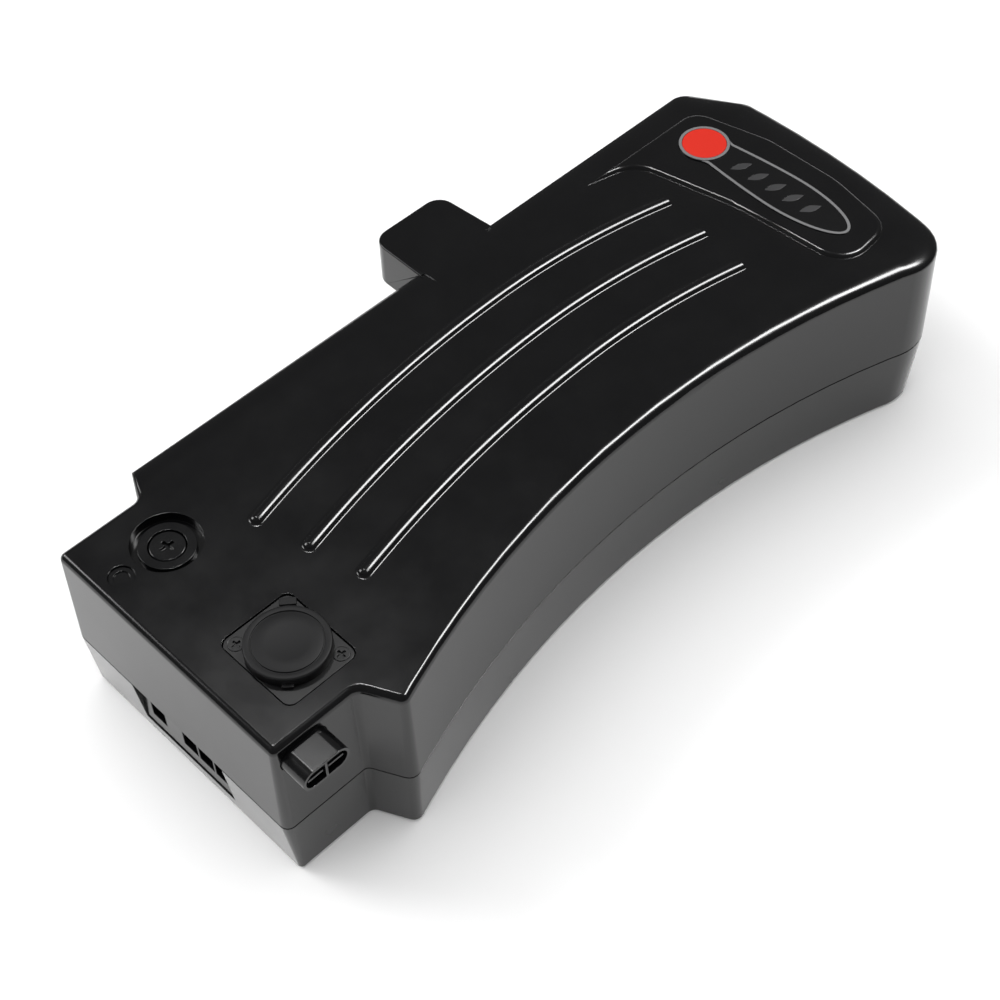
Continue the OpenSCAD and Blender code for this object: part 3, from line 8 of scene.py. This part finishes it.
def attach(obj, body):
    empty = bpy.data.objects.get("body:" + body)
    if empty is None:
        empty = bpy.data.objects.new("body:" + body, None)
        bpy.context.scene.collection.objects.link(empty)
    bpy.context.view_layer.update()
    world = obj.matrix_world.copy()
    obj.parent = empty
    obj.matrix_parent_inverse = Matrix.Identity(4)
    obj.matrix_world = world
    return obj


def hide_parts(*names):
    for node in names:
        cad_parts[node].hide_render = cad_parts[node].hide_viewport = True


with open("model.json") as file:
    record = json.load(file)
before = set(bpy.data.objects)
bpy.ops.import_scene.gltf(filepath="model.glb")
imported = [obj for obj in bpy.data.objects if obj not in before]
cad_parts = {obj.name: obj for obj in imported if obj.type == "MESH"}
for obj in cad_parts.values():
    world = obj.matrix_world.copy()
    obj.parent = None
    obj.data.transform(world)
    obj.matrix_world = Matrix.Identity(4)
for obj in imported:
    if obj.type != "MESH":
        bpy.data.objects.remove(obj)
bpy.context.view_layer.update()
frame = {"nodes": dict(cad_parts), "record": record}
nodes = frame["nodes"]
mm = 0.001


def toLinear(hexColour):
    channels = [int(hexColour[i:i + 2], 16) / 255 for i in (1, 3, 5)]
    return [c / 12.92 if c <= 0.04045 else ((c + 0.055) / 1.055) ** 2.4 for c in channels] + [1.0]


def addNode(tree, kind, settings=None, links=None):
    # settings are sockets by name or number, or else the node's own options
    node = tree.nodes.new(kind)
    for key, value in (settings or {}).items():
        if isinstance(key, int) or key in node.inputs:
            node.inputs[key].default_value = value
        else:
            setattr(node, key, value)
    for key, source in (links or {}).items():
        tree.links.new(source, node.inputs[key])
    return node


def deselectAll():
    if bpy.context.mode != "OBJECT":
        bpy.ops.object.mode_set(mode="OBJECT")
    bpy.ops.object.select_all(action="DESELECT")


def workOn(piece):
    deselectAll()
    bpy.context.view_layer.objects.active = piece
    piece.select_set(True)


def placeInMesh(piece):
    workOn(piece)
    bpy.ops.object.transform_apply(location=True, rotation=True, scale=True)


def applyModifier(piece, kind, settings):
    workOn(piece)
    modifier = piece.modifiers.new(kind.lower(), kind)
    for key, value in settings.items():
        setattr(modifier, key, value)
    bpy.ops.object.modifier_apply(modifier=modifier.name)


def finishPiece(piece, material, body, replaced=()):
    piece.data.materials.clear()
    piece.data.materials.append(material)
    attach(piece, body)
    if replaced:
        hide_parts(*replaced)
    return piece


# Camera where the photo's was, aimed at the battery from the neck's side
cameraSettings = {"place": (-295.10, -307.12, 517.54), "lens": 69.12, "sensor": 36.0,
                  "azimuth": -43.21, "elevation": 50.85, "roll": -1.77}


def makeCamera(s):
    a, e, r = (math.radians(s[key]) for key in ("azimuth", "elevation", "roll"))
    back = Vector((math.sin(a) * math.cos(e), -math.cos(a) * math.cos(e), math.sin(e)))
    right = Vector((math.cos(a), math.sin(a), 0))
    up = back.cross(right)
    right, up = right * math.cos(r) + up * math.sin(r), up * math.cos(r) - right * math.sin(r)
    turn = Matrix((right, up, back)).transposed()
    data = bpy.data.cameras.new("photoCamera")
    data.lens, data.sensor_width, data.clip_start, data.clip_end = s["lens"], s["sensor"], 0.01, 20
    camera = bpy.data.objects.new("photoCamera", data)
    bpy.context.scene.collection.objects.link(camera)
    camera.matrix_world = Matrix.Translation(Vector(s["place"]) * mm) @ turn.to_4x4()
    bpy.context.scene.camera = camera


makeCamera(cameraSettings)
print("camera set")

# Pale floor under two soft suns, and two cards that show only as reflections on the gloss.
# A sun's last two values say whether it lights dull surfaces and whether it shows in glossy ones
studioSettings = {"floorSize": 8.0, "floorColour": "#f2f2f2", "worldColour": "#ffffff", "worldPower": 0.15,
                  "suns": [("keyLight", (-0.32, 0.72, 0.62), 24, 1.1, True, True),
                           ("overheadLight", (-0.05, 0.1, 1), 100, 3.3, True, False)],
                  "boxes": [("softbox", (0.52, -0.08, 0.85), 3.0, 0.62, 0.9, 52),
                            ("ceilingLamp", (0.16, 0.366, 0.917), 3.0, 0.2, 0.16, 9)]}


def makeStudio(s):
    deselectAll()
    bpy.ops.mesh.primitive_plane_add(size=s["floorSize"], location=(0, 0, -0.0002))
    floor = bpy.context.active_object
    floor.name = "studioFloor"
    paper = bpy.data.materials.new("matt paper sweep")
    paper.use_nodes = True
    shader = paper.node_tree.nodes["Principled BSDF"]
    shader.inputs["Base Color"].default_value = toLinear(s["floorColour"])
    shader.inputs["Roughness"].default_value = 0.9
    floor.data.materials.append(paper)
    placeInMesh(floor)
    world = bpy.data.worlds.new("studioWorld")
    bpy.context.scene.world = world
    world.use_nodes = True
    world.node_tree.nodes["Background"].inputs["Color"].default_value = toLinear(s["worldColour"])
    world.node_tree.nodes["Background"].inputs["Strength"].default_value = s["worldPower"]
    lights = []
    for name, way, spread, power, lit, mirrored in s["suns"]:
        sun = bpy.data.lights.new(name, "SUN")
        sun.energy, sun.angle = power, math.radians(spread)
        lights.append((sun, way, 1.0, lit, mirrored))
    for name, way, away, long, short, power in s["boxes"]:
        area = bpy.data.lights.new(name, "AREA")
        area.shape, area.size, area.size_y, area.energy = "RECTANGLE", long, short, power
        lights.append((area, way, away, False, True))
    for data, way, away, lit, mirrored in lights:
        back = Vector(way).normalized()
        across = (Vector((0, 1, 0)) - back * back.y).normalized()
        light = bpy.data.objects.new(data.name, data)
        bpy.context.scene.collection.objects.link(light)
        light.visible_diffuse, light.visible_glossy = lit, mirrored
        light.matrix_world = Matrix.Translation(back * away) @ Matrix(
            (across, back.cross(across), back)).transposed().to_4x4()
    bpy.context.scene.view_settings.view_transform = "Standard"


makeStudio(studioSettings)
print("floor and lights set")


# Finishes: each starts from the real material, with grain and patches sized in mm.
# Moulded grain is finer than the render shows, so it is drawn at 0.5 mm to be seen at all
def makeFinish(name, s):
    material = bpy.data.materials.new(name)
    material.use_nodes = True
    tree = material.node_tree
    shader = tree.nodes["Principled BSDF"]
    place = addNode(tree, "ShaderNodeTexCoord").outputs["Object"]
    grain = addNode(tree, "ShaderNodeTexNoise", {"Scale": 1 / (s["grainSize"] * mm), "Detail": 2.0,
                                                 "Roughness": 0.55}, {"Vector": place})
    patch = addNode(tree, "ShaderNodeTexNoise", {"Scale": 1 / (s["patchSize"] * mm), "Detail": 4.0,
                                                 "Roughness": 0.6}, {"Vector": place})
    gloss = addNode(tree, "ShaderNodeMapRange", {"From Min": 0.3, "From Max": 0.7,
                    "To Min": s["roughness"] - s["roughSpread"], "To Max": s["roughness"] + s["roughSpread"]},
                    {"Value": patch.outputs["Fac"]})
    tint = addNode(tree, "ShaderNodeMix", {"data_type": "RGBA"}, {"Factor": patch.outputs["Fac"]})
    tint.inputs[6].default_value = toLinear(s["colour"])
    tint.inputs[7].default_value = toLinear(s["otherColour"])
    bump = addNode(tree, "ShaderNodeBump", {"Strength": s["grainStrength"], "Distance": s["grainDepth"] * mm},
                   {"Height": grain.outputs["Fac"]})
    tree.links.new(tint.outputs[2], shader.inputs["Base Color"])
    tree.links.new(gloss.outputs["Result"], shader.inputs["Roughness"])
    tree.links.new(bump.outputs["Normal"], shader.inputs["Normal"])
    for key, value in s.get("shader", {}).items():
        shader.inputs[key].default_value = value
    return material


plainFinish = {"colour": "#1b1b1d", "otherColour": "#1f1f21", "roughness": 0.34, "roughSpread": 0.04,
               "grainSize": 0.5, "grainStrength": 0.25, "grainDepth": 0.02, "patchSize": 22}
finishSettings = {
    # ABS moulded in a lightly polished tool: deep black with a soft, slightly broken sheen
    "shell_black": ("polished moulded ABS shell", {"colour": "#060607", "otherColour": "#080809", "roughness": 0.18,
                                                   "roughSpread": 0.03, "grainDepth": 0.0015}),
    # the same ABS from a spark-eroded tool: a fine even grain that greys the reflection
    "tray_black": ("fine grained moulded ABS tray", {"colour": "#090909", "otherColour": "#0c0c0d",
                                                     "roughness": 0.24, "grainDepth": 0.01,
                                                     "shader": {"Sheen Weight": 0.5, "Sheen Roughness": 0.25}}),
    # screen-printed polyester film: smooth and even, about as glossy as the case
    "film_black": ("screen printed polyester film", {"colour": "#080809", "otherColour": "#0a0a0b",
                                                     "roughness": 0.2, "roughSpread": 0.02, "grainDepth": 0.004}),
    # red silicone cap over the switch: even colour, soft gloss
    "button_red": ("moulded red silicone", {"colour": "#c42212", "otherColour": "#ca2513", "roughness": 0.45,
                                            "shader": {"Specular IOR Level": 0.15},
                                            "grainDepth": 0.01}),
    # the film's printed lines: opaque grey ink
    "lineGrey": ("printed grey ink", {"colour": "#6a6a6b", "otherColour": "#6f6f70", "roughness": 0.4,
                                      "grainDepth": 0.004}),
    # smoked polycarbonate windows: grey and smooth
    "lamp_grey": ("smoked polycarbonate window", {"colour": "#333334", "otherColour": "#383839",
                                                  "roughness": 0.3, "grainDepth": 0.004}),
    # moulded TPE: matte grey black with a dry grain
    "rubber_dark": ("moulded thermoplastic rubber", {"colour": "#0d0d0e", "otherColour": "#121213",
                                                     "roughness": 0.5, "grainDepth": 0.03,
                                                     "shader": {"Specular IOR Level": 0.3}}),
    # glass-filled nylon from a polished tool: black, with a sharp gloss
    "plastic_dark": ("glossy glass filled nylon", {"colour": "#060607", "otherColour": "#09090a", "roughness": 0.18,
                                                 "grainDepth": 0.003}),
    # turned zinc alloy under black chromate: dark, with a fine metal sheen
    "socket_metal": ("black chromated zinc alloy", {"colour": "#09090a", "otherColour": "#0d0d0e",
                                                    "roughness": 0.38}),
    # cold-headed steel, zinc plated: bright, slightly brushed
    "screw_steel": ("zinc plated steel", {"colour": "#a9abae", "otherColour": "#bcbec0", "roughness": 0.28,
                                          "shader": {"Metallic": 1.0}}),
    # tinned brass: pale gold metal
    "contact_brass": ("plated brass contact", {"colour": "#c9b27a", "otherColour": "#d6c08a", "roughness": 0.25,
                                               "shader": {"Metallic": 1.0}}),
    # tin plating, rough and dull, its grey base darkened as painted shade for the slots the blades sit in: grey
    # metal with broad soft highlights
    "tin_darkened_for_slot_shade": ("tin plated contact darkened as painted shade", {"colour": "#4a4a4b", "otherColour": "#565657", "roughness": 0.45,
                                             "shader": {"Metallic": 1.0}}),
    # drawn glass tube of the fuse: clear
    "fuse_glass": ("drawn fuse glass", {"colour": "#e6f2f3", "otherColour": "#eef7f7", "roughness": 0.05,
                                        "roughSpread": 0.01, "grainDepth": 0.002,
                                        "shader": {"Transmission Weight": 0.9}}),
    # shrunk PVC sleeve on the cells: green and glossy
    "cell_sleeve": ("shrunk PVC sleeve", {"colour": "#2d8a46", "otherColour": "#33944d", "roughness": 0.3}),
    # moulded ABS of the cell holders: grey, matte
    "holder_grey": ("moulded ABS cell holder", {"colour": "#32363a", "otherColour": "#383c40", "roughness": 0.5}),
    # rolled nickel strip: satin metal
    "strip_nickel": ("rolled nickel strip", {"colour": "#c4c5c6", "otherColour": "#cfd0d0", "roughness": 0.32,
                                             "shader": {"Metallic": 1.0}}),
    # cut closed-cell foam: dull with open pores
    "foam_grey": ("cut polyethylene foam", {"colour": "#55585a", "otherColour": "#5f6264", "roughness": 0.85,
                                            "grainSize": 1.2, "grainDepth": 0.2, "grainStrength": 0.6}),
    # solder resist over copper and glass cloth: green with a soft gloss
    "board_green": ("solder resist on glass laminate", {"colour": "#1e6a38", "otherColour": "#23733e",
                                                        "roughness": 0.32}),
    # silicone sleeves of the leads: soft and slightly dusty
    "lead_red": ("red silicone sleeve", {"colour": "#b42a20", "otherColour": "#bc3228", "roughness": 0.5}),
    "lead_pale": ("pale silicone sleeve", {"colour": "#d8d3c4", "otherColour": "#dfdacb", "roughness": 0.5}),
    "lead_black": ("black silicone sleeve", {"colour": "#26262a", "otherColour": "#2c2c30", "roughness": 0.5}),
    "lead_blue": ("blue silicone sleeve", {"colour": "#3b63b5", "otherColour": "#416abc", "roughness": 0.5}),
    # pressed aluminium sheet of the heat spreader: mill finish
    "alu_plain": ("mill finished aluminium", {"colour": "#bcbec2", "otherColour": "#c6c8cb", "roughness": 0.35,
                                              "shader": {"Metallic": 1.0}}),
    # natural nylon of the board's header: cream, matte
    "connector_pale": ("natural nylon header", {"colour": "#e6e3da", "otherColour": "#ebe8df", "roughness": 0.5}),
}
finishes = {slot: makeFinish(name, {**plainFinish, **own}) for slot, (name, own) in finishSettings.items()}
nodeSlots = {s["node"]: s["material_slot"] for s in frame["record"]["subparts"]}
# seen in the photo with another finish than the record's slot gives
# the blades take the tin darkened as painted shade for the slots they sit in
nodeSlots.update({"socket_screws": "socket_metal", "screw_plug": "plastic_dark", "cap_tether": "rubber_dark",
                  "outlet_blades": "tin_darkened_for_slot_shade", "terminal_blades": "tin_darkened_for_slot_shade"})
print("finishes made:", len(finishes))

bodyOf = {n: body for body, members in frame["record"]["behaviour"]["bodies"].items() for n in members}
for name, node in nodes.items():
    node.data.materials.clear()
    node.data.materials.append(finishes[nodeSlots[name]])


def selectFaces(test):
    # picks faces of the active mesh by a test on their centre and normal
    bpy.ops.mesh.select_all(action="DESELECT")
    bpy.ops.object.mode_set(mode="OBJECT")
    for face in bpy.context.active_object.data.polygons:
        face.select = bool(test(face.center / mm, face.normal))
    bpy.ops.object.mode_set(mode="EDIT")


def selectEdges(test):
    # picks edges by a test on both of their ends
    bpy.ops.mesh.select_all(action="DESELECT")
    bpy.ops.object.mode_set(mode="OBJECT")
    mesh = bpy.context.active_object.data
    for edge in mesh.edges:
        edge.select = all(test(mesh.vertices[v].co / mm) for v in edge.vertices)
    bpy.ops.object.mode_set(mode="EDIT")


# Share of the top edge's drop that is kept at a place on the rim: the rim is flatter than its rolled section
rimSettings = {"top": 67.0, "foot": 61.3, "fromX": -119, "lugY": 51.1, "lugShare": 0.35, "sideShares": (0.5, 0.3),
               "endShare": 0.43, "sideEndX": 137, "sideBlend": 8, "curveFromX": -100, "curveToX": 125, "neckY": 45,
               "flatTop": 0.005, "leastUp": 0.05, "most": 4.0}


def keptShare(s, x, y):
    if y > 0:
        t = min(max((x - s["fromX"]) / (s["sideEndX"] - s["fromX"]), 0), 1)
        u = min(max((x - s["sideEndX"]) / s["sideBlend"], 0), 1)
        side = s["sideShares"][0] + (s["sideShares"][1] - s["sideShares"][0]) * t
        return side + (s["endShare"] - side) * u
    t = min(max((x - s["curveFromX"]) / (s["curveToX"] - s["curveFromX"]), 0), 1)
    return 1 + (s["endShare"] - 1) * t


def flattenRim(piece, s):
    group = piece.vertex_groups.new(name="rim")
    for v in piece.data.vertices:
        x, y, z = v.co / mm
        if s["foot"] < z < s["top"] - s["flatTop"] and v.normal.z > s["leastUp"] and x > s["fromX"]:
            if x < s["curveFromX"] and y < s["neckY"]:
                continue
            share = s["lugShare"] if y > s["lugY"] else keptShare(s, x, y)
            rise = (1 - share) * (s["top"] - z)
            group.add([v.index], min(rise / s["most"], 1), "REPLACE")
    applyModifier(piece, "DISPLACE", {"direction": "Z", "mid_level": 0, "strength": s["most"] * mm,
                                      "vertex_group": "rim"})


# A copy of a CAD solid with its doubles merged, its flats cleaned and its edges broken
softPlain = {"merge": 0.002, "flatAngle": 0.4, "steps": 2, "sharpAngle": 42, "smoothAngle": 32, "flatRim": False}


def softenNode(name, s):
    deselectAll()
    piece = nodes[name].copy()
    piece.data = nodes[name].data.copy()
    piece.name = name + "_soft"
    for key in list(piece.keys()):
        del piece[key]
    piece.parent = None
    bpy.context.scene.collection.objects.link(piece)
    piece.hide_render = piece.hide_viewport = False
    workOn(piece)
    bpy.ops.object.mode_set(mode="EDIT")
    bpy.ops.mesh.select_all(action="SELECT")
    bpy.ops.mesh.remove_doubles(threshold=s["merge"] * mm)
    if s["flatRim"]:
        bpy.ops.object.mode_set(mode="OBJECT")
        flattenRim(piece, rimSettings)
        bpy.ops.object.mode_set(mode="EDIT")
        bpy.ops.mesh.select_all(action="SELECT")
    bpy.ops.mesh.dissolve_limited(angle_limit=math.radians(s["flatAngle"]))
    bpy.ops.object.mode_set(mode="OBJECT")
    applyModifier(piece, "BEVEL", {"width": s["edge"] * mm, "segments": s["steps"], "limit_method": "ANGLE",
                                   "angle_limit": math.radians(s["sharpAngle"]), "use_clamp_overlap": False,
                                   "harden_normals": False})
    workOn(piece)
    bpy.ops.object.shade_smooth_by_angle(angle=math.radians(s["smoothAngle"]))
    applyModifier(piece, "WEIGHTED_NORMAL", {"mode": "FACE_AREA", "weight": 100, "keep_sharp": True})
    return finishPiece(piece, finishes[nodeSlots[name]], bodyOf[name], (name,))


softSettings = {
    "top_shell": {"edge": 0.2, "flatRim": True},
    "bottom_tray": {"edge": 0.2},
    "terminal_block": {"edge": 0.2},
    "outlet_housing": {"edge": 0.15},
    "socket_body": {"edge": 0.2},
    "socket_screws": {"edge": 0.12},
    "cap_tether": {"edge": 0.15},
    "fuse_holder": {"edge": 0.2},
    "fuse_cap": {"edge": 0.15},
    "screw_plug": {"edge": 0.15},
    "push_button": {"edge": 0.3, "steps": 3},
    "lamp_windows": {"edge": 0.08},
    "gauge_film": {"edge": 0.04},
}
for name, own in softSettings.items():
    softenNode(name, {**softPlain, **own})
print("edges broken on", len(softSettings), "solids")

# Dust cap over the charge socket: grooved rim, faint middle ring, strap and pull nub
dustCapSettings = {"centre": (-124.6, -35.576), "radius": 13.0, "foot": 66.75, "top": 70.3, "roundEdge": 0.6,
                   "grooveRadius": 11.0, "grooveWidth": 0.6, "grooveDepth": 0.45, "middleRadius": 6.3,
                   "middleStep": 0.05, "middleWidth": 0.25, "cavityRadius": 10.8, "cavityDepth": 2.65,
                   "strapTurn": 50.01, "strapWidth": 5.0, "strapReach": 1.8, "strapHeight": 0.85,
                   "nubWidth": 3.6, "nubReach": 0.9,
                   "nubHeight": 1.05, "edge": 0.1, "sides": 96}


def extrudeBy(x, y, z):
    bpy.ops.mesh.extrude_region_move(TRANSFORM_OT_translate={"value": (x * mm, y * mm, z * mm)})


def beginDisc(name, centre, radius, foot, top, sides):
    deselectAll()
    bpy.ops.mesh.primitive_cylinder_add(vertices=sides, radius=radius * mm, depth=(top - foot) * mm,
                                        location=(centre[0] * mm, centre[1] * mm, (top + foot) / 2 * mm))
    piece = bpy.context.active_object
    piece.name = name
    placeInMesh(piece)
    bpy.ops.object.mode_set(mode="EDIT")
    bpy.ops.mesh.select_mode(type="FACE")
    return piece


def makeDustCap(s):
    piece = beginDisc("dustCapMoulding", s["centre"], s["radius"], s["foot"], s["top"], s["sides"])
    cx, cy = s["centre"]
    selectFaces(lambda c, n: n.z > 0.9)
    bpy.ops.mesh.inset(thickness=(s["radius"] - s["grooveRadius"]) * mm)
    extrudeBy(0, 0, -s["grooveDepth"])
    bpy.ops.mesh.inset(thickness=s["grooveWidth"] * mm)
    extrudeBy(0, 0, s["grooveDepth"])
    bpy.ops.mesh.inset(thickness=(s["grooveRadius"] - s["grooveWidth"] - s["middleRadius"]) * mm)
    bpy.ops.mesh.inset(thickness=s["middleWidth"] * mm)
    bpy.ops.transform.translate(value=(0, 0, -s["middleStep"] * mm))
    selectFaces(lambda c, n: n.z < -0.9)
    bpy.ops.mesh.inset(thickness=(s["radius"] - s["cavityRadius"]) * mm)
    extrudeBy(0, 0, s["cavityDepth"])
    for turn, width, reach, height in ((s["strapTurn"], s["strapWidth"], s["strapReach"], s["strapHeight"]),
                                       (s["strapTurn"] + 180, s["nubWidth"], s["nubReach"], s["nubHeight"])):
        along = Vector((math.cos(math.radians(turn)), math.sin(math.radians(turn)), 0))
        across = Vector((-along.y, along.x, 0))
        middle = Vector((cx, cy, s["foot"]))

        def onSide(c, n, test=0.9):
            return n.dot(along) > test and (c - middle).dot(along) > s["radius"] - 1 and \
                abs((c - middle).dot(across)) < width / 2
        selectFaces(lambda c, n: onSide(c, n))
        bpy.ops.mesh.bisect(plane_co=Vector((0, 0, s["foot"] + height)) * mm, plane_no=(0, 0, 1))
        selectFaces(lambda c, n: onSide(c, n) and c.z < s["foot"] + height)
        extrudeBy(*(along * reach))
    rim = s["radius"] - 0.02
    selectEdges(lambda v: v.z > s["top"] - 0.01 and (v.xy - Vector((cx, cy))).length > rim)
    bpy.ops.mesh.bevel(offset=s["roundEdge"] * mm, segments=4, affect="EDGES")
    bpy.ops.mesh.select_all(action="SELECT")
    bpy.ops.mesh.normals_make_consistent(inside=False)
    bpy.ops.object.mode_set(mode="OBJECT")
    applyModifier(piece, "BEVEL", {"width": s["edge"] * mm, "segments": 2, "limit_method": "ANGLE",
                                   "angle_limit": math.radians(50), "use_clamp_overlap": True})
    bpy.ops.object.shade_smooth_by_angle(angle=math.radians(35))
    finishPiece(piece, finishes["rubber_dark"], "dust_cap", ("dust_cap",))


makeDustCap(dustCapSettings)
print("dust cap modelled")

# Rib mouldings: a rounded crest over a steep wall and a soft foot, round at the neck and cut square at the gauge
ribSettings = {"ends": ((51.6, 241.6), (56.4, 238.6), (61.2, 235.6)), "firstY": 27.9, "pitch": 20.2, "apexX": 171,
               "neckBend": 450, "tailBend": 270, "steps": 64, "top": 67.0, "lift": 0.006,
               "frameShift": (-152, 51.0243), "endRun": 0.02, "tipSteps": 14, "merge": 0.004,
               "smoothAngle": 60,
               "profile": ((-3.0, 0.0), (-2.7, 0.03), (-2.42, 0.11), (-2.18, 0.24), (-2.0, 0.42), (-1.9, 0.62),
                           (-1.79, 0.81), (-1.62, 0.95), (-1.35, 1.075), (-1.05, 1.193), (-0.75, 1.289),
                           (-0.4, 1.36), (0.0, 1.39))}


def ribMiddle(s, x, i):
    d = x - s["apexX"]
    bend = s["neckBend"] if d < 0 else s["tailBend"]
    return Vector((x + s["frameShift"][0], -s["firstY"] - i * s["pitch"] - d * d / (2 * bend)
                   + s["frameShift"][1], s["top"] + s["lift"]))


def selectRow(x, low, high, cy):
    # picks the section's vertices at one place along the rib
    bpy.ops.mesh.select_mode(type="VERT")
    bpy.ops.mesh.select_all(action="DESELECT")
    bpy.ops.object.mode_set(mode="OBJECT")
    for v in bpy.context.active_object.data.vertices:
        v.select = abs(v.co.x / mm - x) < 0.01 and low <= v.co.y / mm - cy <= high
    bpy.ops.object.mode_set(mode="EDIT")


def makeRib(s, i):
    x0, x1 = s["ends"][i]
    places = [ribMiddle(s, x0 + (x1 - x0) * k / s["steps"], i) for k in range(s["steps"] + 1)]
    half = s["profile"]
    whole = list(half) + [(-y, z) for y, z in reversed(half[:-1])]
    deselectAll()
    first = places[0] + Vector((0, whole[0][0], whole[0][1]))
    bpy.ops.mesh.primitive_plane_add(size=1 * mm, location=first * mm)
    rib = bpy.context.active_object
    rib.name = "ribMoulding" + str(i + 1)
    placeInMesh(rib)
    bpy.ops.object.mode_set(mode="EDIT")
    bpy.ops.mesh.select_mode(type="VERT")
    bpy.ops.mesh.select_all(action="SELECT")
    bpy.ops.mesh.merge(type="CENTER")
    for (ya, za), (yb, zb) in zip(whole, whole[1:]):
        extrudeBy(0, yb - ya, zb - za)
    bpy.ops.mesh.select_all(action="SELECT")
    for a, b in zip(places, places[1:]):
        extrudeBy(*(b - a))
    extrudeBy(s["endRun"], 0, 0)
    bpy.ops.transform.resize(value=(1, 1, 0), center_override=(0, 0, (s["top"] + s["lift"]) * mm))
    selectRow(places[0].x, -9, 0.01, places[0].y)
    bpy.ops.mesh.select_mode(type="EDGE")
    bpy.ops.mesh.spin(steps=s["tipSteps"], angle=math.pi, center=places[0] * mm, axis=(0, 0, 1))
    bpy.ops.mesh.select_mode(type="VERT")
    bpy.ops.mesh.select_all(action="SELECT")
    bpy.ops.mesh.remove_doubles(threshold=s["merge"] * mm)
    bpy.ops.mesh.normals_make_consistent(inside=False)
    bpy.ops.object.mode_set(mode="OBJECT")
    bpy.ops.object.shade_smooth_by_angle(angle=math.radians(s["smoothAngle"]))
    finishPiece(rib, finishes["shell_black"], "case")


for i in range(len(ribSettings["ends"])):
    makeRib(ribSettings, i)
print("ribs modelled")

# Printed lines of the gauge: a raised ring round the button and a drop-shaped line round the lamps
gaugeLineSettings = {"button": (120.1, 23.524), "ringRadius": 9.05, "ringHole": 7.98, "ringRise": 0.42,
                     "ringEdge": 0.14, "belly": (120.1, -13.976), "bellyWidth": 9.2, "neckWidth": 6.95,
                     "neckSwell": 1.6, "neckRun": 29.45, "flareRun": 3.9, "tail": 27.35, "lineWidth": 1.0,
                     "top": 68.5, "lineRise": 0.04, "lineSink": 0.01, "ringSink": 0.02,
                     "underRing": 0.3, "sides": 120, "ringSides": 96}


def makeDropLine(s):
    cx, cy = s["belly"]
    deselectAll()
    bpy.ops.mesh.primitive_circle_add(vertices=s["sides"], radius=s["bellyWidth"] * mm, fill_type="NGON",
                                      location=(cx * mm, cy * mm, (s["top"] - s["lineSink"]) * mm))
    drop = bpy.context.active_object
    drop.name = "gaugeDropLine"
    placeInMesh(drop)
    bpy.ops.object.mode_set(mode="EDIT")
    bpy.ops.mesh.select_mode(type="VERT")

    def selectVertices(test):
        bpy.ops.mesh.select_all(action="DESELECT")
        bpy.ops.object.mode_set(mode="OBJECT")
        for v in drop.data.vertices:
            v.select = bool(test(v.co / mm))
        bpy.ops.object.mode_set(mode="EDIT")
    flareTop = s["neckRun"] + s["flareRun"]
    for side, reach in ((1, flareTop), (-1, s["tail"])):
        selectVertices(lambda v: (v.y - cy) * side > 0.001)
        bpy.ops.transform.resize(value=(1, reach / s["bellyWidth"], 1), center_override=(cx * mm, cy * mm, 0))
    bpy.ops.object.mode_set(mode="OBJECT")
    rows = sorted({round(v.co.y / mm - cy, 3): abs(v.co.x / mm - cx) for v in drop.data.vertices
                   if v.co.y / mm - cy > 0.001}.items())
    bpy.ops.object.mode_set(mode="EDIT")
    for y, x in rows[:-1]:
        t = min(y / s["neckRun"], 1)
        wide = s["bellyWidth"] + (s["neckWidth"] - s["bellyWidth"]) * t ** s["neckSwell"]
        wide += max(y - s["neckRun"], 0) ** 2 / s["flareRun"] ** 2 * (s["bellyWidth"] - s["neckWidth"]) / 2
        selectVertices(lambda v: abs(v.y - cy - y) < 0.002)
        bpy.ops.transform.resize(value=(wide / x, 1, 1), center_override=(cx * mm, 0, 0))
    bpy.ops.mesh.select_mode(type="FACE")
    bpy.ops.mesh.select_all(action="SELECT")
    bpy.ops.mesh.inset(thickness=s["lineWidth"] * mm, use_even_offset=True)
    bpy.ops.mesh.delete(type="FACE")
    ring = Vector(s["button"])
    selectFaces(lambda c, n: (c.xy - ring).length < s["ringRadius"] - s["underRing"])
    bpy.ops.mesh.delete(type="FACE")
    bpy.ops.mesh.select_all(action="SELECT")
    extrudeBy(0, 0, s["lineRise"] + s["lineSink"])
    bpy.ops.mesh.select_all(action="SELECT")
    bpy.ops.mesh.normals_make_consistent(inside=False)
    bpy.ops.object.mode_set(mode="OBJECT")
    finishPiece(drop, finishes["lineGrey"], "case")


def makeRingLine(s):
    ring = beginDisc("gaugeRingLine", s["button"], s["ringRadius"], s["top"] - s["ringSink"],
                     s["top"] + s["ringRise"], s["ringSides"])
    selectFaces(lambda c, n: abs(n.z) > 0.9)
    bpy.ops.mesh.inset(thickness=(s["ringRadius"] - s["ringHole"]) * mm)
    bpy.ops.mesh.bridge_edge_loops()
    bpy.ops.mesh.select_all(action="SELECT")
    bpy.ops.mesh.normals_make_consistent(inside=False)
    bpy.ops.object.mode_set(mode="OBJECT")
    applyModifier(ring, "BEVEL", {"width": s["ringEdge"] * mm, "segments": 3, "limit_method": "ANGLE",
                                  "angle_limit": math.radians(50)})
    bpy.ops.object.shade_smooth_by_angle(angle=math.radians(40))
    finishPiece(ring, finishes["lineGrey"], "case")


makeDropLine(gaugeLineSettings)
makeRingLine(gaugeLineSettings)
print("gauge lines modelled")
